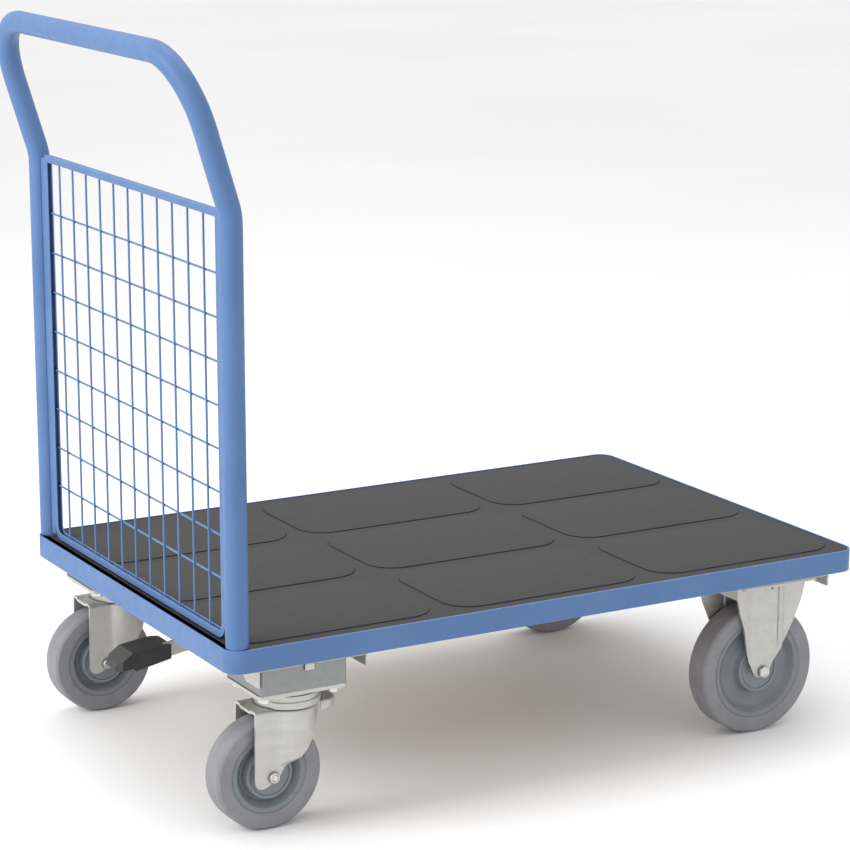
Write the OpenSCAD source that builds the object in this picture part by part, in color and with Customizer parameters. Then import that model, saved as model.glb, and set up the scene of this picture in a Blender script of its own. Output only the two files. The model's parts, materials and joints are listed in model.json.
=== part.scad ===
// Platform cart: a padded load deck in a folded steel rim, one fixed mesh end
// with a push handle, two braked swivel castors below the handle and two fixed
// castors at the other end. Millimetres, +Z up. The origin is on the floor at
// the middle of the whole cart, and +X runs from the handle end to the far end.

/* [Deck] */
// Length of the deck over the rim
deck_l = 1050; // [900:10:1200]
// Width of the deck over the rim
deck_w = 700; // [600:10:800]
// Height of the rim's top edge above the floor
deck_top = 278; // [270:1:300]
// Depth of the folded rim
rim_h = 33; // [28:1:36]
// Thickness of the rim sheet
rim_t = 3; // [2:0.5:3]
// Outer radius of the deck corners
rim_corner_r = 25; // [22:1:30]
// Height of the raised pads above the mat
pad_h = 1.5; // [0.5:0.5:3]
// Gap between neighbouring pads
pad_gap = 25; // [15:1:30]
// Corner radius of each pad
pad_r = 45; // [20:1:60]

/* [Handle] */
// Outer diameter of the handle tube
tube_d = 32; // [28:1:34]
// Wall thickness of the handle tube
tube_wall = 2; // [1.5:0.5:3]
// Height above the deck at which the posts start to lean out
kink_h = 590; // [560:5:640]
// Height of the push bar's axis above the deck
bar_h = 797; // [740:1:840]
// How far the push bar's axis stands out past the posts
bar_reach = 63; // [50:1:80]
// Bend radius of the two upper corners, on the tube's axis
corner_bend_r = 100; // [80:5:120]

/* [Mesh end] */
// Height of the mesh frame
frame_h = 590; // [560:1:592]
// Wire diameter
wire_d = 3; // [2:0.5:4]
// Pitch of the upright wires across the cart
wire_pitch_y = 50; // [40:1:60]
// Pitch of the level wires
wire_pitch_z = 60; // [50:1:60]

/* [Wheels] */
// Diameter of the swivel wheels
swivel_wheel_d = 160; // [150:1:160]
// Diameter of the fixed wheels
fixed_wheel_d = 200; // [190:1:200]
// Width of the tyres
tyre_w = 44; // [42:1:50]
// Distance from the swivel axis back to the wheel axle
trail = 38; // [34:1:42]

/* [Brake] */
// Width of the foot pad
foot_pad_w = 50; // [40:1:60]
// Angle through which the pedal is pressed to lock the swivel castors
brake_angle = 12; // [8:1:12]

/* [Hidden] */
$fn = 96;
// Overlap of a cut past the face that it opens
cut = 1;
// Play on the radius where one part turns or slides in another
play = 0.05;
// Play on the radius of a bolt in its clearance hole
bolt_play = 0.25;
// Play on the radius of a handle post in the deck
post_play = 0.2;

// Colours
paint = [0.36, 0.51, 0.75];
mat_grey = [0.22, 0.22, 0.22];
plywood = [0.72, 0.58, 0.40];
zinc = [0.78, 0.77, 0.74];
box_grey = [0.56, 0.57, 0.58];
bright_steel = [0.70, 0.70, 0.70];
tyre_grey = [0.56, 0.56, 0.58];
hub_grey = [0.47, 0.50, 0.53];
pad_black = [0.15, 0.15, 0.15];

// Lengthwise places, measured from the deck's edge at the handle end
post_from_end = 20;
swivel_from_end = 114;
shaft_from_end = 145;
fixed_axle_from_end = 901;
fixed_plate_from_end = 917;
overhang = bar_reach - post_from_end + tube_d / 2;
handle_edge = overhang / 2 - deck_l / 2;
post_x = handle_edge + post_from_end;
swivel_x = handle_edge + swivel_from_end;
shaft_x = handle_edge + shaft_from_end;
fixed_x = handle_edge + fixed_axle_from_end;
fixed_plate_x = handle_edge + fixed_plate_from_end;
deck_x = handle_edge + deck_l / 2;

// Crosswise places, measured from the middle
wheel_y = deck_w / 2 - 60;
post_y = deck_w / 2 - 18.6;

// Deck stack, from the floor
mat_t = 3;
mat_top = deck_top - 1;
board_top = mat_top - mat_t;
rim_bottom = deck_top - rim_h;
flange_t = 2.5;
flange_w = 9.5;
relief_l = 32;
fit_gap = 0.5;
rail_t = 2.5;
rail_w = 40;
rail_h = 15;
rail_pitch = 190;
screw_d = 6;
screw_offset = 45;
board_bottom = rim_bottom + rail_h;
mat_l = deck_l - 2 * rim_t - 2 * fit_gap;
mat_w = deck_w - 2 * rim_t - 2 * fit_gap;
mat_r = rim_corner_r - rim_t - fit_gap;
pad_margin_x = 15;
pad_margin_y = 21.5;
pad_l = (mat_l - 2 * pad_margin_x - 2 * pad_gap) / 3;
pad_w = (mat_w - 2 * pad_margin_y - 2 * pad_gap) / 3;

// Cross members: inverted channels across the cart, under the rim
member_t = 3;
member_h = 19;
member_inset = 5;
member_rear = [44, 212];
member_front = [836, 1003];
web_bottom = rim_bottom - member_t;

// Castor plates and their bolts
plate_l = 135;
plate_w = 110;
plate_corner_r = 8;
hole_l = 105;
hole_w = 80;
bolt_d = 10;
bolt_af = 17;
bolt_head_h = 6.3;
nut_h = 8;
thread_past_nut = 2;
sunk_head_r = 9.5;

// Brake box, swivel plate and swivel head, from the floor
box_h = 36;
box_l = 132;
box_w = 110;
box_t = 3;
box_bottom = web_bottom - box_h;
swivel_plate_t = 5;
swivel_plate_bottom = box_bottom - swivel_plate_t;
ball_d = 8;
ball_ring_r = 38;
ball_z = swivel_plate_bottom - 14;
ball_count = 26;
race_gap = 0.3;
race_in = 30;
race_w = 16;
neck_step = 2;
crown_top = ball_z - 10;
crown_t = 4;
crown_bottom = crown_top - crown_t;
bell_r = 44;
kingpin_r = 10;
plunger_r = 6;
rivet_h = 3;
rivet_r = 13;

// Wheels
swivel_r = swivel_wheel_d / 2;
fixed_r = fixed_wheel_d / 2;
swivel_axle_x = swivel_x - trail;
tread_t = 24;
shoulder_r = 4;
hub_w = 40;
bearing_r = 20;
bearing_w = 12;
sleeve_r = 8.5;
guard_r = 29;
guard_t = 2;
guard_bore_r = 10;
axle_r = 5;
fork_gap = 59;
leg_t = 4;
axle_nut_r = 7.6;
axle_nut_h = 6;
axle_boss_r = 9;

// Brake linkage
shaft_r = 7;
shaft_z = web_bottom - 18;
cam_w = 12;
cam_arm = shaft_x - swivel_x;
shaft_past_cam = 32;
cam_hub_r = 13;
cam_nose_r = 6;
rest_gap = 0.3;
plunger_top = shaft_z - cam_nose_r - rest_gap;
plunger_head_h = 4;
plunger_pad_h = 6.5;
plunger_pad_top = crown_bottom - rivet_h - 0.5;
lever_t = 8;
lever_y = -19;
pin_r = 2;

// Handle
lean = atan2(bar_reach, bar_h - kink_h);
kink_bend_r = 100;
// At the kinks the wall is this much thicker on both faces, and the straight lengths lap into it
kink_swell = 0.05;
kink_lap = 1;
kink_start = deck_top + kink_h - kink_bend_r * tan(lean / 2);
corner_plate_t = 4;
corner_plate_top = rim_bottom + flange_t + corner_plate_t;
handle_bolt_d = 8;
lean_x = post_x - kink_bend_r * (1 - cos(lean));
lean_z = kink_start + kink_bend_r * sin(lean);
lean_run = (deck_top + bar_h - lean_z) / cos(lean) - corner_bend_r;

// Mesh end
frame_t = 1.5;
frame_depth = 10;
frame_bottom = deck_top + 2;
frame_w = deck_w - 96;
frame_corner_r = 22;
slot_w = 2 * wire_d;
lowest_wire_h = 85;
strip_gap = post_y - tube_d / 2 - frame_w / 2;

// ---------- Shared shapes ----------

module both_sides() {
  children();
  mirror([0, 1, 0]) children();
}

module rounded_rect(l, w, r) {
  square([l - 2 * r, w], center = true);
  square([l, w - 2 * r], center = true);
  for (x = [-1, 1], y = [-1, 1])
    translate([x * (l / 2 - r), y * (w / 2 - r)]) circle(r);
}

module hex(af, h) {
  cylinder(d = af / cos(30), h = h, $fn = 6);
}

module across(r, w) {
  rotate([90, 0, 0]) cylinder(r = r, h = w, center = true);
}

module side_plate(w) {
  rotate([90, 0, 0]) linear_extrude(w, center = true) children();
}

module plate_holes(r, h) {
  at_plate_holes() translate([0, 0, -cut]) cylinder(r = r, h = h + 2 * cut);
}

module at_plate_holes() {
  for (x = [-1, 1], y = [-1, 1]) translate([x * hole_l / 2, y * hole_w / 2, 0]) children();
}

// ---------- Deck ----------

module deck_rim() {
  inner_l = deck_l - 2 * rim_t;
  inner_w = deck_w - 2 * rim_t;
  color(paint) difference() {
    translate([deck_x, 0, rim_bottom]) rim_shell(inner_l, inner_w);
    both_sides() translate([post_x, post_y, corner_plate_top])
      cylinder(r = tube_d / 2 + post_play, h = rim_h);
  }
}

// Rim wall and its inward bottom flange, which stops short of each corner
module rim_shell(inner_l, inner_w) {
  difference() {
    linear_extrude(rim_h) rounded_rect(deck_l, deck_w, rim_corner_r);
    translate([0, 0, flange_t]) linear_extrude(rim_h)
      rounded_rect(inner_l, inner_w, rim_corner_r - rim_t);
    translate([0, 0, -cut]) linear_extrude(rim_h)
      square([deck_l - 2 * flange_w, deck_w - 2 * flange_w], center = true);
    translate([0, 0, -cut]) linear_extrude(rim_h) intersection() {
      rounded_rect(inner_l, inner_w, rim_corner_r - rim_t);
      for (x = [-1, 1], y = [-1, 1])
        translate([x * deck_l / 2, y * deck_w / 2]) square(2 * relief_l, center = true);
    }
  }
}

module deck_board() {
  color(plywood) difference() {
    translate([deck_x, 0, board_bottom])
      linear_extrude(board_top - board_bottom) rounded_rect(mat_l, mat_w, mat_r);
    both_sides() translate([post_x, post_y, board_bottom - cut])
      cylinder(r = tube_d / 2 + post_play, h = rim_h);
  }
}

module deck_mat() {
  color(mat_grey) difference() {
    translate([deck_x, 0, board_top]) {
      linear_extrude(mat_t) rounded_rect(mat_l, mat_w, mat_r);
      for (i = [-1:1], j = [-1:1])
        translate([i * (pad_l + pad_gap), j * (pad_w + pad_gap), 0])
          linear_extrude(mat_t + pad_h) rounded_rect(pad_l, pad_w, pad_r);
    }
    both_sides() translate([post_x, post_y, board_top - cut])
      cylinder(r = tube_d / 2 + post_play, h = rim_h);
  }
}

module deck_rails() {
  rail_l = deck_l - 2 * flange_w - 2 * fit_gap;
  color(zinc) for (i = [-1:1])
    translate([deck_x, i * rail_pitch, rim_bottom + rail_h / 2]) difference() {
      cube([rail_l, rail_w, rail_h], center = true);
      translate([0, 0, -rail_t])
        cube([rail_l + cut, rail_w - 2 * rail_t, rail_h], center = true);
      for (end = [member_rear, member_front], s = [-1, 1])
        translate([handle_edge + (end[0] + end[1]) / 2 + s * screw_offset - deck_x, 0, 0])
          cylinder(r = screw_d / 2 + bolt_play, h = rail_h + cut);
    }
}

// One cross member; span is its start and end along the deck
module cross_member(span, plate_x) {
  l = span[1] - span[0];
  w = deck_w - 2 * member_inset;
  mid = handle_edge + (span[0] + span[1]) / 2;
  color(zinc) difference() {
    translate([mid, 0, rim_bottom - member_h / 2]) difference() {
      cube([l, w, member_h], center = true);
      translate([0, 0, -member_t]) cube([l - 2 * member_t, w + cut, member_h], center = true);
    }
    both_sides() translate([plate_x, wheel_y, web_bottom])
      plate_holes(bolt_d / 2 + bolt_play, member_t);
    for (i = [-1:1], s = [-1, 1])
      translate([mid + s * screw_offset, i * rail_pitch, web_bottom - cut])
        cylinder(r = screw_d / 2 + bolt_play, h = member_t + 2 * cut);
  }
}

// The rear member's outer flange is deeper near both ends, with a chamfered corner, and
// a short lip of its web is turned down over each brake box
module cross_member_rear() {
  lip_from = 114;
  lip_l = 14;
  lip_h = 10;
  web_end = deck_w / 2 - member_inset;
  tab_from = 5;
  tab_w = 49;
  tab_h = 6.5;
  tab_chamfer = 12;
  flange_bottom = rim_bottom - member_h;
  cross_member(member_rear, swivel_x);
  color(zinc) both_sides()
    translate([handle_edge + member_rear[0], deck_w / 2 - tab_from, flange_bottom + cut])
      rotate([90, 0, 90]) linear_extrude(member_t)
        polygon([[0, 0], [0, -tab_h - cut], [tab_chamfer - tab_w, -tab_h - cut], [-tab_w, 0]]);
  color(zinc) both_sides() translate([handle_edge + lip_from, 0, rim_bottom])
    rotate([90, 0, 90]) linear_extrude(lip_l) polygon([
      [web_end - member_t, 0], [web_end + member_t, 0], [web_end + member_t, -lip_h],
      [web_end, -lip_h], [web_end, -member_t], [web_end - member_t, -member_t]
    ]);
}

module cross_member_front() {
  cross_member(member_front, fixed_plate_x);
}

// Screws that hold the rails to the cross members and reach into the board
module rail_screws() {
  screw_af = 10;
  head_h = 4;
  color(bright_steel)
    for (end = [member_rear, member_front], i = [-1:1], s = [-1, 1])
      translate([handle_edge + (end[0] + end[1]) / 2 + s * screw_offset, i * rail_pitch, 0]) {
        translate([0, 0, web_bottom - head_h]) hex(screw_af, head_h);
        translate([0, 0, web_bottom]) cylinder(d = screw_d, h = board_bottom - web_bottom);
      }
}

// ---------- Handle and mesh end ----------

module tube_profile(swell = 0) {
  difference() {
    circle(r = tube_d / 2 + swell);
    circle(r = tube_d / 2 - tube_wall - swell);
  }
}

// Local frame of the leaning upper part: +Z runs up along the lean
module leaning() {
  translate([lean_x, 0, lean_z]) rotate([0, -lean, 0]) children();
}

module handle_tube() {
  color(paint) {
    both_sides() {
      translate([post_x, post_y, corner_plate_top])
        linear_extrude(kink_start + kink_lap - corner_plate_top) tube_profile();
      translate([post_x - kink_bend_r, post_y, kink_start]) rotate([90, 0, 0])
        rotate_extrude(angle = lean) translate([kink_bend_r, 0]) tube_profile(kink_swell);
      leaning() {
        translate([0, post_y, -kink_lap]) linear_extrude(lean_run + kink_lap) tube_profile();
        translate([0, post_y - corner_bend_r, lean_run]) rotate([90, 0, 90])
          rotate_extrude(angle = 90) translate([corner_bend_r, 0]) tube_profile();
      }
    }
    leaning() translate([0, 0, lean_run + corner_bend_r]) rotate([90, 0, 0])
      linear_extrude(2 * (post_y - corner_bend_r), center = true) tube_profile();
  }
}

// Plates on the rim's flange at the two handle corners, each with a spigot in the tube
module corner_plates() {
  plate_inset = 4;
  plate_x = 44;
  plate_y = 70;
  corner_cut = 22;
  spigot_h = 30;
  color(zinc) both_sides() difference() {
    union() {
      translate([handle_edge + plate_inset, deck_w / 2 - plate_inset - plate_y,
                 corner_plate_top - corner_plate_t])
        difference() {
          cube([plate_x, plate_y, corner_plate_t]);
          translate([0, plate_y, -cut]) rotate(45)
            cube([corner_cut, corner_cut, 4 * corner_plate_t], center = true);
        }
      translate([post_x, post_y, corner_plate_top])
        cylinder(r = tube_d / 2 - tube_wall - play, h = spigot_h);
    }
    translate([post_x, post_y, corner_plate_top - corner_plate_t - cut])
      cylinder(d = handle_bolt_d, h = spigot_h);
  }
}

// Bolts that pull the corner plates and spigots against the posts
module handle_bolts() {
  bolt_head_af = 13;
  head_h = 5;
  shank_l = 25;
  plate_bottom = corner_plate_top - corner_plate_t;
  color(bright_steel) both_sides() translate([post_x, post_y, 0]) {
    translate([0, 0, plate_bottom - head_h]) hex(bolt_head_af, head_h);
    translate([0, 0, plate_bottom]) cylinder(d = handle_bolt_d, h = shank_l);
  }
}

// Outline of the mesh frame, drawn in by inset: bent lower corners and square upper ones
module frame_outline(inset) {
  w = frame_w - 2 * inset;
  h = frame_h - 2 * inset;
  corner_r = frame_corner_r - inset;
  translate([0, corner_r / 2]) square([w, h - corner_r], center = true);
  square([w - 2 * corner_r, h], center = true);
  for (s = [-1, 1]) translate([s * (w / 2 - corner_r), corner_r - h / 2]) circle(corner_r);
}

// U channel bent into a frame, open inwards so that the wires end in its slot
module mesh_frame() {
  outer_x = slot_w + 2 * frame_t;
  color(paint) translate([post_x, 0, frame_bottom + frame_h / 2])
    rotate([90, 0, 90]) difference() {
      translate([0, 0, -outer_x / 2]) linear_extrude(outer_x) frame_outline(0);
      translate([0, 0, -outer_x]) linear_extrude(2 * outer_x) frame_outline(frame_depth);
      translate([0, 0, -slot_w / 2]) linear_extrude(slot_w) frame_outline(frame_t);
    }
}

// Upright wires lie on the handle side, level wires on the load side
module mesh_wires_upright() {
  reach = frame_h - 2 * frame_t;
  color(paint) for (i = [-5:5])
    translate([post_x - wire_d / 2, i * wire_pitch_y, frame_bottom + frame_t])
      cylinder(d = wire_d, h = reach, $fn = 24);
}

module mesh_wires_level() {
  reach = frame_w - 2 * frame_t;
  first = deck_top + lowest_wire_h;
  color(paint) for (i = [0:7])
    translate([post_x + wire_d / 2, 0, first + i * wire_pitch_z])
      rotate([90, 0, 0]) cylinder(d = wire_d, h = reach, center = true, $fn = 24);
}

// Flat bars that close the gap between each post and the mesh frame
module mesh_strips() {
  strip_t = 3;
  lap = 4.4;
  end_gap = 5;
  color(paint) both_sides() difference() {
    translate([post_x - slot_w / 2 - frame_t, frame_w / 2, frame_bottom + end_gap])
      cube([strip_t, strip_gap + lap, frame_h - 2 * end_gap]);
    translate([post_x, post_y, 0])
      cylinder(r = tube_d / 2 + kink_swell, h = 2 * frame_h + deck_top);
  }
}

// ---------- Fasteners of the castors ----------

module bolt_places(x) {
  both_sides() translate([x, wheel_y, 0]) at_plate_holes() children();
}

// Hexagon bolt through a swivel castor and its brake box, head up
module hex_bolt() {
  thread_end = swivel_plate_bottom - nut_h - thread_past_nut;
  translate([0, 0, rim_bottom]) hex(bolt_af, bolt_head_h);
  translate([0, 0, thread_end]) cylinder(d = bolt_d, h = rim_bottom - thread_end);
}

// Countersunk screw through a fixed castor, its head flush with the plate's underside
module sunk_screw() {
  bottom = web_bottom - leg_t;
  translate([0, 0, bottom]) cylinder(r1 = sunk_head_r, r2 = bolt_d / 2, h = leg_t);
  translate([0, 0, bottom])
    cylinder(d = bolt_d, h = rim_bottom + nut_h + thread_past_nut - bottom);
}

module castor_nut(bottom) {
  translate([0, 0, bottom]) difference() {
    hex(bolt_af, nut_h);
    translate([0, 0, -cut]) cylinder(d = bolt_d, h = nut_h + 2 * cut);
  }
}

module castor_bolts() {
  color(bright_steel) {
    bolt_places(swivel_x) hex_bolt();
    bolt_places(fixed_plate_x) sunk_screw();
  }
}

module castor_nuts() {
  color(bright_steel) {
    bolt_places(swivel_x) castor_nut(swivel_plate_bottom - nut_h);
    bolt_places(fixed_plate_x) castor_nut(rim_bottom);
  }
}

// ---------- Brake ----------

// Housing between cross member and castor; the shaft enters through its inner wall
module brake_box(side) {
  spacer_r = 7.5;
  corner_r = 4;
  bracket_y = -31;
  bracket_l = 28;
  bracket_h = 26;
  color(box_grey) translate([swivel_x, side * wheel_y, box_bottom]) mirror([0, side > 0 ? 1 : 0, 0])
    difference() {
      union() {
        difference() {
          linear_extrude(box_h) rounded_rect(box_l, box_w, corner_r);
          translate([0, 0, -cut]) linear_extrude(box_h - box_t + cut)
            rounded_rect(box_l - 2 * box_t, box_w - 2 * box_t, corner_r - box_t);
        }
        for (x = [-1, 1], y = [-1, 1])
          translate([x * hole_l / 2, y * hole_w / 2, 0]) cylinder(r = spacer_r, h = box_h);
        translate([cam_arm - bracket_l / 2, bracket_y, box_h - box_t - bracket_h])
          cube([bracket_l, box_t, bracket_h]);
      }
      plate_holes(bolt_d / 2 + bolt_play, box_h);
      translate([cam_arm, 0, shaft_z - box_bottom]) {
        translate([0, bracket_y + box_t / 2, 0]) across(shaft_r + play, box_t + cut);
        translate([0, box_w / 2, 0]) across(shaft_r + play, 3 * box_t);
      }
    }
}

module brake_box_right() {
  brake_box(-1);
}

module brake_box_left() {
  brake_box(1);
}

// Cross hole through the shaft and whatever is pinned to it
module pin_hole(y) {
  translate([shaft_x, y, shaft_z]) cylinder(r = pin_r, h = 4 * cam_hub_r, center = true);
}

// Stations across the shaft that are pinned to it
pin_ys = [-wheel_y, lever_y, wheel_y];

module brake_shaft() {
  color(bright_steel) difference() {
    translate([shaft_x, 0, shaft_z]) across(shaft_r, 2 * (wheel_y + shaft_past_cam));
    for (y = pin_ys) pin_hole(y);
  }
}

module brake_cams() {
  color(zinc) both_sides() difference() {
    translate([shaft_x, wheel_y, shaft_z]) difference() {
      side_plate(cam_w) {
        circle(cam_hub_r);
        translate([-cam_arm, 0]) circle(cam_nose_r);
        translate([-cam_arm, -cam_nose_r]) square([cam_arm, 2 * cam_nose_r]);
      }
      across(shaft_r + play, cam_w + cut);
    }
    pin_hole(wheel_y);
  }
}

module roll_pins() {
  color(bright_steel) for (y = pin_ys)
    translate([shaft_x, y, shaft_z]) cylinder(r = pin_r, h = 2 * cam_hub_r - 1, center = true);
}

// Side view of the lever: a flat bar from the foot pad that cranks up to the shaft
module lever_outline() {
  pad_end = handle_edge + 5;
  knee = handle_edge + 106;
  polygon([
    [pad_end, shaft_z - 59], [pad_end, shaft_z - 39], [knee - 4, shaft_z - 23],
    [shaft_x - 12, shaft_z + 4], [shaft_x + 5, shaft_z - 11], [knee + 6, shaft_z - 43]
  ]);
}

module pedal_lever() {
  color(zinc) difference() {
    union() {
      translate([0, lever_y, 0]) side_plate(lever_t) lever_outline();
      translate([shaft_x, lever_y, shaft_z]) across(cam_hub_r, lever_t);
    }
    translate([shaft_x, lever_y, shaft_z]) across(shaft_r + play, lever_t + cut);
    pin_hole(lever_y);
  }
}

module foot_pad() {
  toe = handle_edge - 27;
  heel = handle_edge + 61;
  corner_r = 4;
  toe_cut = 14;
  color(pad_black) difference() {
    intersection() {
      side_plate(foot_pad_w) {
        polygon([
          [toe, shaft_z - 60], [toe + 3, shaft_z - 53], [toe + 26, shaft_z - 37],
          [heel - 14, shaft_z - 31.5], [heel, shaft_z - 33], [heel, shaft_z - 54],
          [toe + 30, shaft_z - 65], [toe + 27, shaft_z - 61], [toe + 6, shaft_z - 62.5]
        ]);
      }
      translate([(toe + heel) / 2, 0, 0]) linear_extrude(2 * shaft_z) difference() {
        rounded_rect(heel - toe, foot_pad_w, corner_r);
        for (s = [-1, 1]) translate([(toe - heel) / 2, s * foot_pad_w / 2])
          rotate(45) square(toe_cut, center = true);
      }
    }
    translate([0, lever_y, 0]) side_plate(lever_t) lever_outline();
  }
}

// Torsion spring on the shaft, beside the lever
module return_spring() {
  spring_l = 24;
  spring_gap = 1;
  spring_wire_d = 2.5;
  color(bright_steel) translate([shaft_x, lever_y + spring_l, shaft_z]) difference() {
    across(shaft_r + spring_gap + spring_wire_d, spring_l);
    across(shaft_r + spring_gap, spring_l + cut);
  }
}

// Push rod through the hollow kingpin, with a brake pad over the tyre
module plunger(side) {
  head_r = 9;
  pad_face_r = 12;
  color(bright_steel) translate([swivel_x, side * wheel_y, 0]) {
    translate([0, 0, plunger_top - plunger_head_h]) cylinder(r = head_r, h = plunger_head_h);
    translate([0, 0, plunger_pad_top])
      cylinder(r = plunger_r, h = plunger_top - plunger_head_h - plunger_pad_top);
    translate([0, 0, plunger_pad_top - plunger_pad_h]) cylinder(r = pad_face_r, h = plunger_pad_h);
  }
}

module plunger_right() {
  plunger(-1);
}

module plunger_left() {
  plunger(1);
}

// ---------- Swivel castors ----------

module ball_groove(r) {
  translate([ball_ring_r, 0]) circle(r);
}

// Top plate with the upper race of the swivel head
module swivel_plate(side) {
  race_bottom = ball_z + race_gap / 2;
  neck_bottom = ball_z + 8;
  color(zinc) translate([swivel_x, side * wheel_y, 0]) difference() {
    union() {
      translate([0, 0, swivel_plate_bottom])
        linear_extrude(swivel_plate_t) rounded_rect(plate_l, plate_w, plate_corner_r);
      rotate_extrude() difference() {
        union() {
          translate([race_in, race_bottom]) square([race_w, neck_bottom - race_bottom]);
          translate([race_in, neck_bottom])
            square([race_w - neck_step, swivel_plate_bottom - neck_bottom]);
        }
        translate([0, ball_z]) ball_groove(ball_d / 2 + play);
      }
    }
    translate([0, 0, swivel_plate_bottom]) plate_holes(bolt_d / 2 + bolt_play, swivel_plate_t);
    translate([0, 0, swivel_plate_bottom - cut])
      cylinder(r = kingpin_r, h = swivel_plate_t + 2 * cut);
  }
}

module swivel_plate_right() {
  swivel_plate(-1);
}

module swivel_plate_left() {
  swivel_plate(1);
}

// Hollow rivets, fixed in the swivel plates; the forks turn on them
module kingpins() {
  bottom = crown_bottom - rivet_h;
  turn_gap = 0.2;
  color(bright_steel) both_sides() translate([swivel_x, wheel_y, 0]) difference() {
    union() {
      translate([0, 0, bottom]) cylinder(r = kingpin_r, h = box_bottom - bottom);
      translate([0, 0, bottom]) cylinder(r = rivet_r, h = rivet_h - turn_gap);
    }
    translate([0, 0, bottom - cut])
      cylinder(r = plunger_r + play, h = box_bottom - bottom + 2 * cut);
  }
}

module swivel_balls(side) {
  color(bright_steel) translate([swivel_x, side * wheel_y, ball_z])
    for (i = [0:ball_count - 1])
      rotate(i * 360 / ball_count) translate([ball_ring_r, 0, 0]) sphere(d = ball_d, $fn = 24);
}

module swivel_balls_right() {
  swivel_balls(-1);
}

module swivel_balls_left() {
  swivel_balls(1);
}

// Half-width of the fork shell at its outside
fork_half = fork_gap / 2 + leg_t + 2;

// Plan of the fork shell; t is how far it is drawn inside the outer face
module fork_plan(t) {
  back = -64;
  circle(bell_r - t);
  translate([back - (t > 0 ? cut : 0), t - fork_half])
    square([-back + (t > 0 ? cut : 0), 2 * (fork_half - t)]);
}

// Side view of the swivel fork's cheek, from the swivel axis and the floor
module swivel_cheek_outline() {
  polygon([
    [-65, 90], [-24, 96], [-3, 101], [13, 116], [23, 130], [30, 155], [35, crown_bottom],
    [46, crown_bottom], [46, crown_top], [-64, crown_top]
  ]);
}

// Side view of the set-in lower end that carries the axle
module swivel_tip_outline() {
  tip_r = 12;
  polygon([
    [-66.4, 78], [-65.2, 108], [-13, 108], [-18.5, 97], [-30, 76], [-49, 66.5], [-54.4, 72]
  ]);
  translate([-54.4, 77]) circle(tip_r);
  translate([-trail, swivel_r]) circle(axle_boss_r);
}

module swivel_fork(side) {
  tongue_x = 45;
  tongue_r = 26;
  skirt_h = 14;
  skirt_t = 3;
  color(zinc) translate([swivel_x, side * wheel_y, 0]) difference() {
    union() {
      intersection() {
        linear_extrude(crown_top) difference() {
          fork_plan(0);
          fork_plan(leg_t);
        }
        side_plate(2 * bell_r + cut) swivel_cheek_outline();
      }
      translate([0, 0, crown_bottom]) linear_extrude(crown_t) fork_plan(0);
      for (s = [-1, 1])
        translate([0, s * (fork_gap + leg_t) / 2, 0]) side_plate(leg_t) swivel_tip_outline();
      translate([tongue_x, 0, crown_bottom]) cylinder(r = tongue_r, h = crown_t);
      translate([tongue_x, 0, crown_bottom - skirt_h]) difference() {
        cylinder(r = tongue_r, h = skirt_h);
        translate([0, 0, -cut]) cylinder(r = tongue_r - skirt_t, h = skirt_h + 2 * cut);
        translate([-2 * tongue_r - 5, 0, 0]) cube(4 * tongue_r, center = true);
      }
      rotate_extrude() difference() {
        translate([race_in, crown_top]) square([race_w + 1, ball_z - race_gap / 2 - crown_top]);
        translate([0, ball_z]) ball_groove(ball_d / 2 + play);
      }
    }
    translate([0, 0, crown_bottom - cut]) cylinder(r = kingpin_r + play, h = crown_t + 2 * cut);
    translate([-trail, 0, swivel_r]) across(axle_r, 2 * bell_r);
  }
}

module swivel_fork_right() {
  swivel_fork(-1);
}

module swivel_fork_left() {
  swivel_fork(1);
}

// ---------- Wheels, drawn about their own axle ----------

module spun() {
  rotate([90, 0, 0]) rotate_extrude() children();
}

// Axle bolt with a round flanged nut on the right cheek and its hex head on the left one
module axle_set() {
  half = fork_gap / 2 + leg_t;
  head_af = 16;
  across(axle_r, 2 * half + 2 * axle_nut_h);
  translate([0, half + axle_nut_h, 0]) rotate([90, 0, 0]) hex(head_af, axle_nut_h);
  translate([0, -half - axle_nut_h / 2, 0]) across(axle_nut_r, axle_nut_h);
}

module sleeve() {
  difference() {
    across(sleeve_r, fork_gap);
    across(axle_r, fork_gap + cut);
  }
}

// Wheel centre: bearing boss, thin web and the seat of the tyre
module hub(wheel_r) {
  seat_r = wheel_r - tread_t;
  rim_in = seat_r - 6;
  boss_r = 33;
  web_half = 6;
  bore_r = bearing_r - 4;
  spun() difference() {
    translate([bore_r, -hub_w / 2]) square([seat_r - bore_r, hub_w]);
    for (s = [-1, 1]) {
      translate([0, s * (hub_w / 2 - bearing_w / 2 + cut / 2)])
        square([2 * bearing_r, bearing_w + cut], center = true);
      polygon([
        [boss_r, s * (hub_w / 2 + cut)], [boss_r + 3, s * web_half],
        [rim_in - 12, s * web_half], [rim_in - 2, s * (hub_w / 2 - 3)],
        [rim_in, s * (hub_w / 2 + cut)]
      ]);
    }
  }
}

// Solid elastic tyre with a flat tread and round shoulders
module tyre(wheel_r) {
  seat_r = wheel_r - tread_t;
  tread_half = tyre_w / 2 - shoulder_r;
  bead_h = 3;
  bead_step = 2;
  wall_h = tread_t - shoulder_r;
  spun() {
    translate([seat_r, -tread_half]) square([tread_t, 2 * tread_half]);
    translate([seat_r, bead_step - tyre_w / 2]) square([wall_h, tyre_w - 2 * bead_step]);
    translate([seat_r + bead_h, -tyre_w / 2]) square([wall_h - bead_h, tyre_w]);
    for (s = [-1, 1])
      translate([wheel_r - shoulder_r, s * tread_half]) circle(shoulder_r);
  }
}

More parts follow.
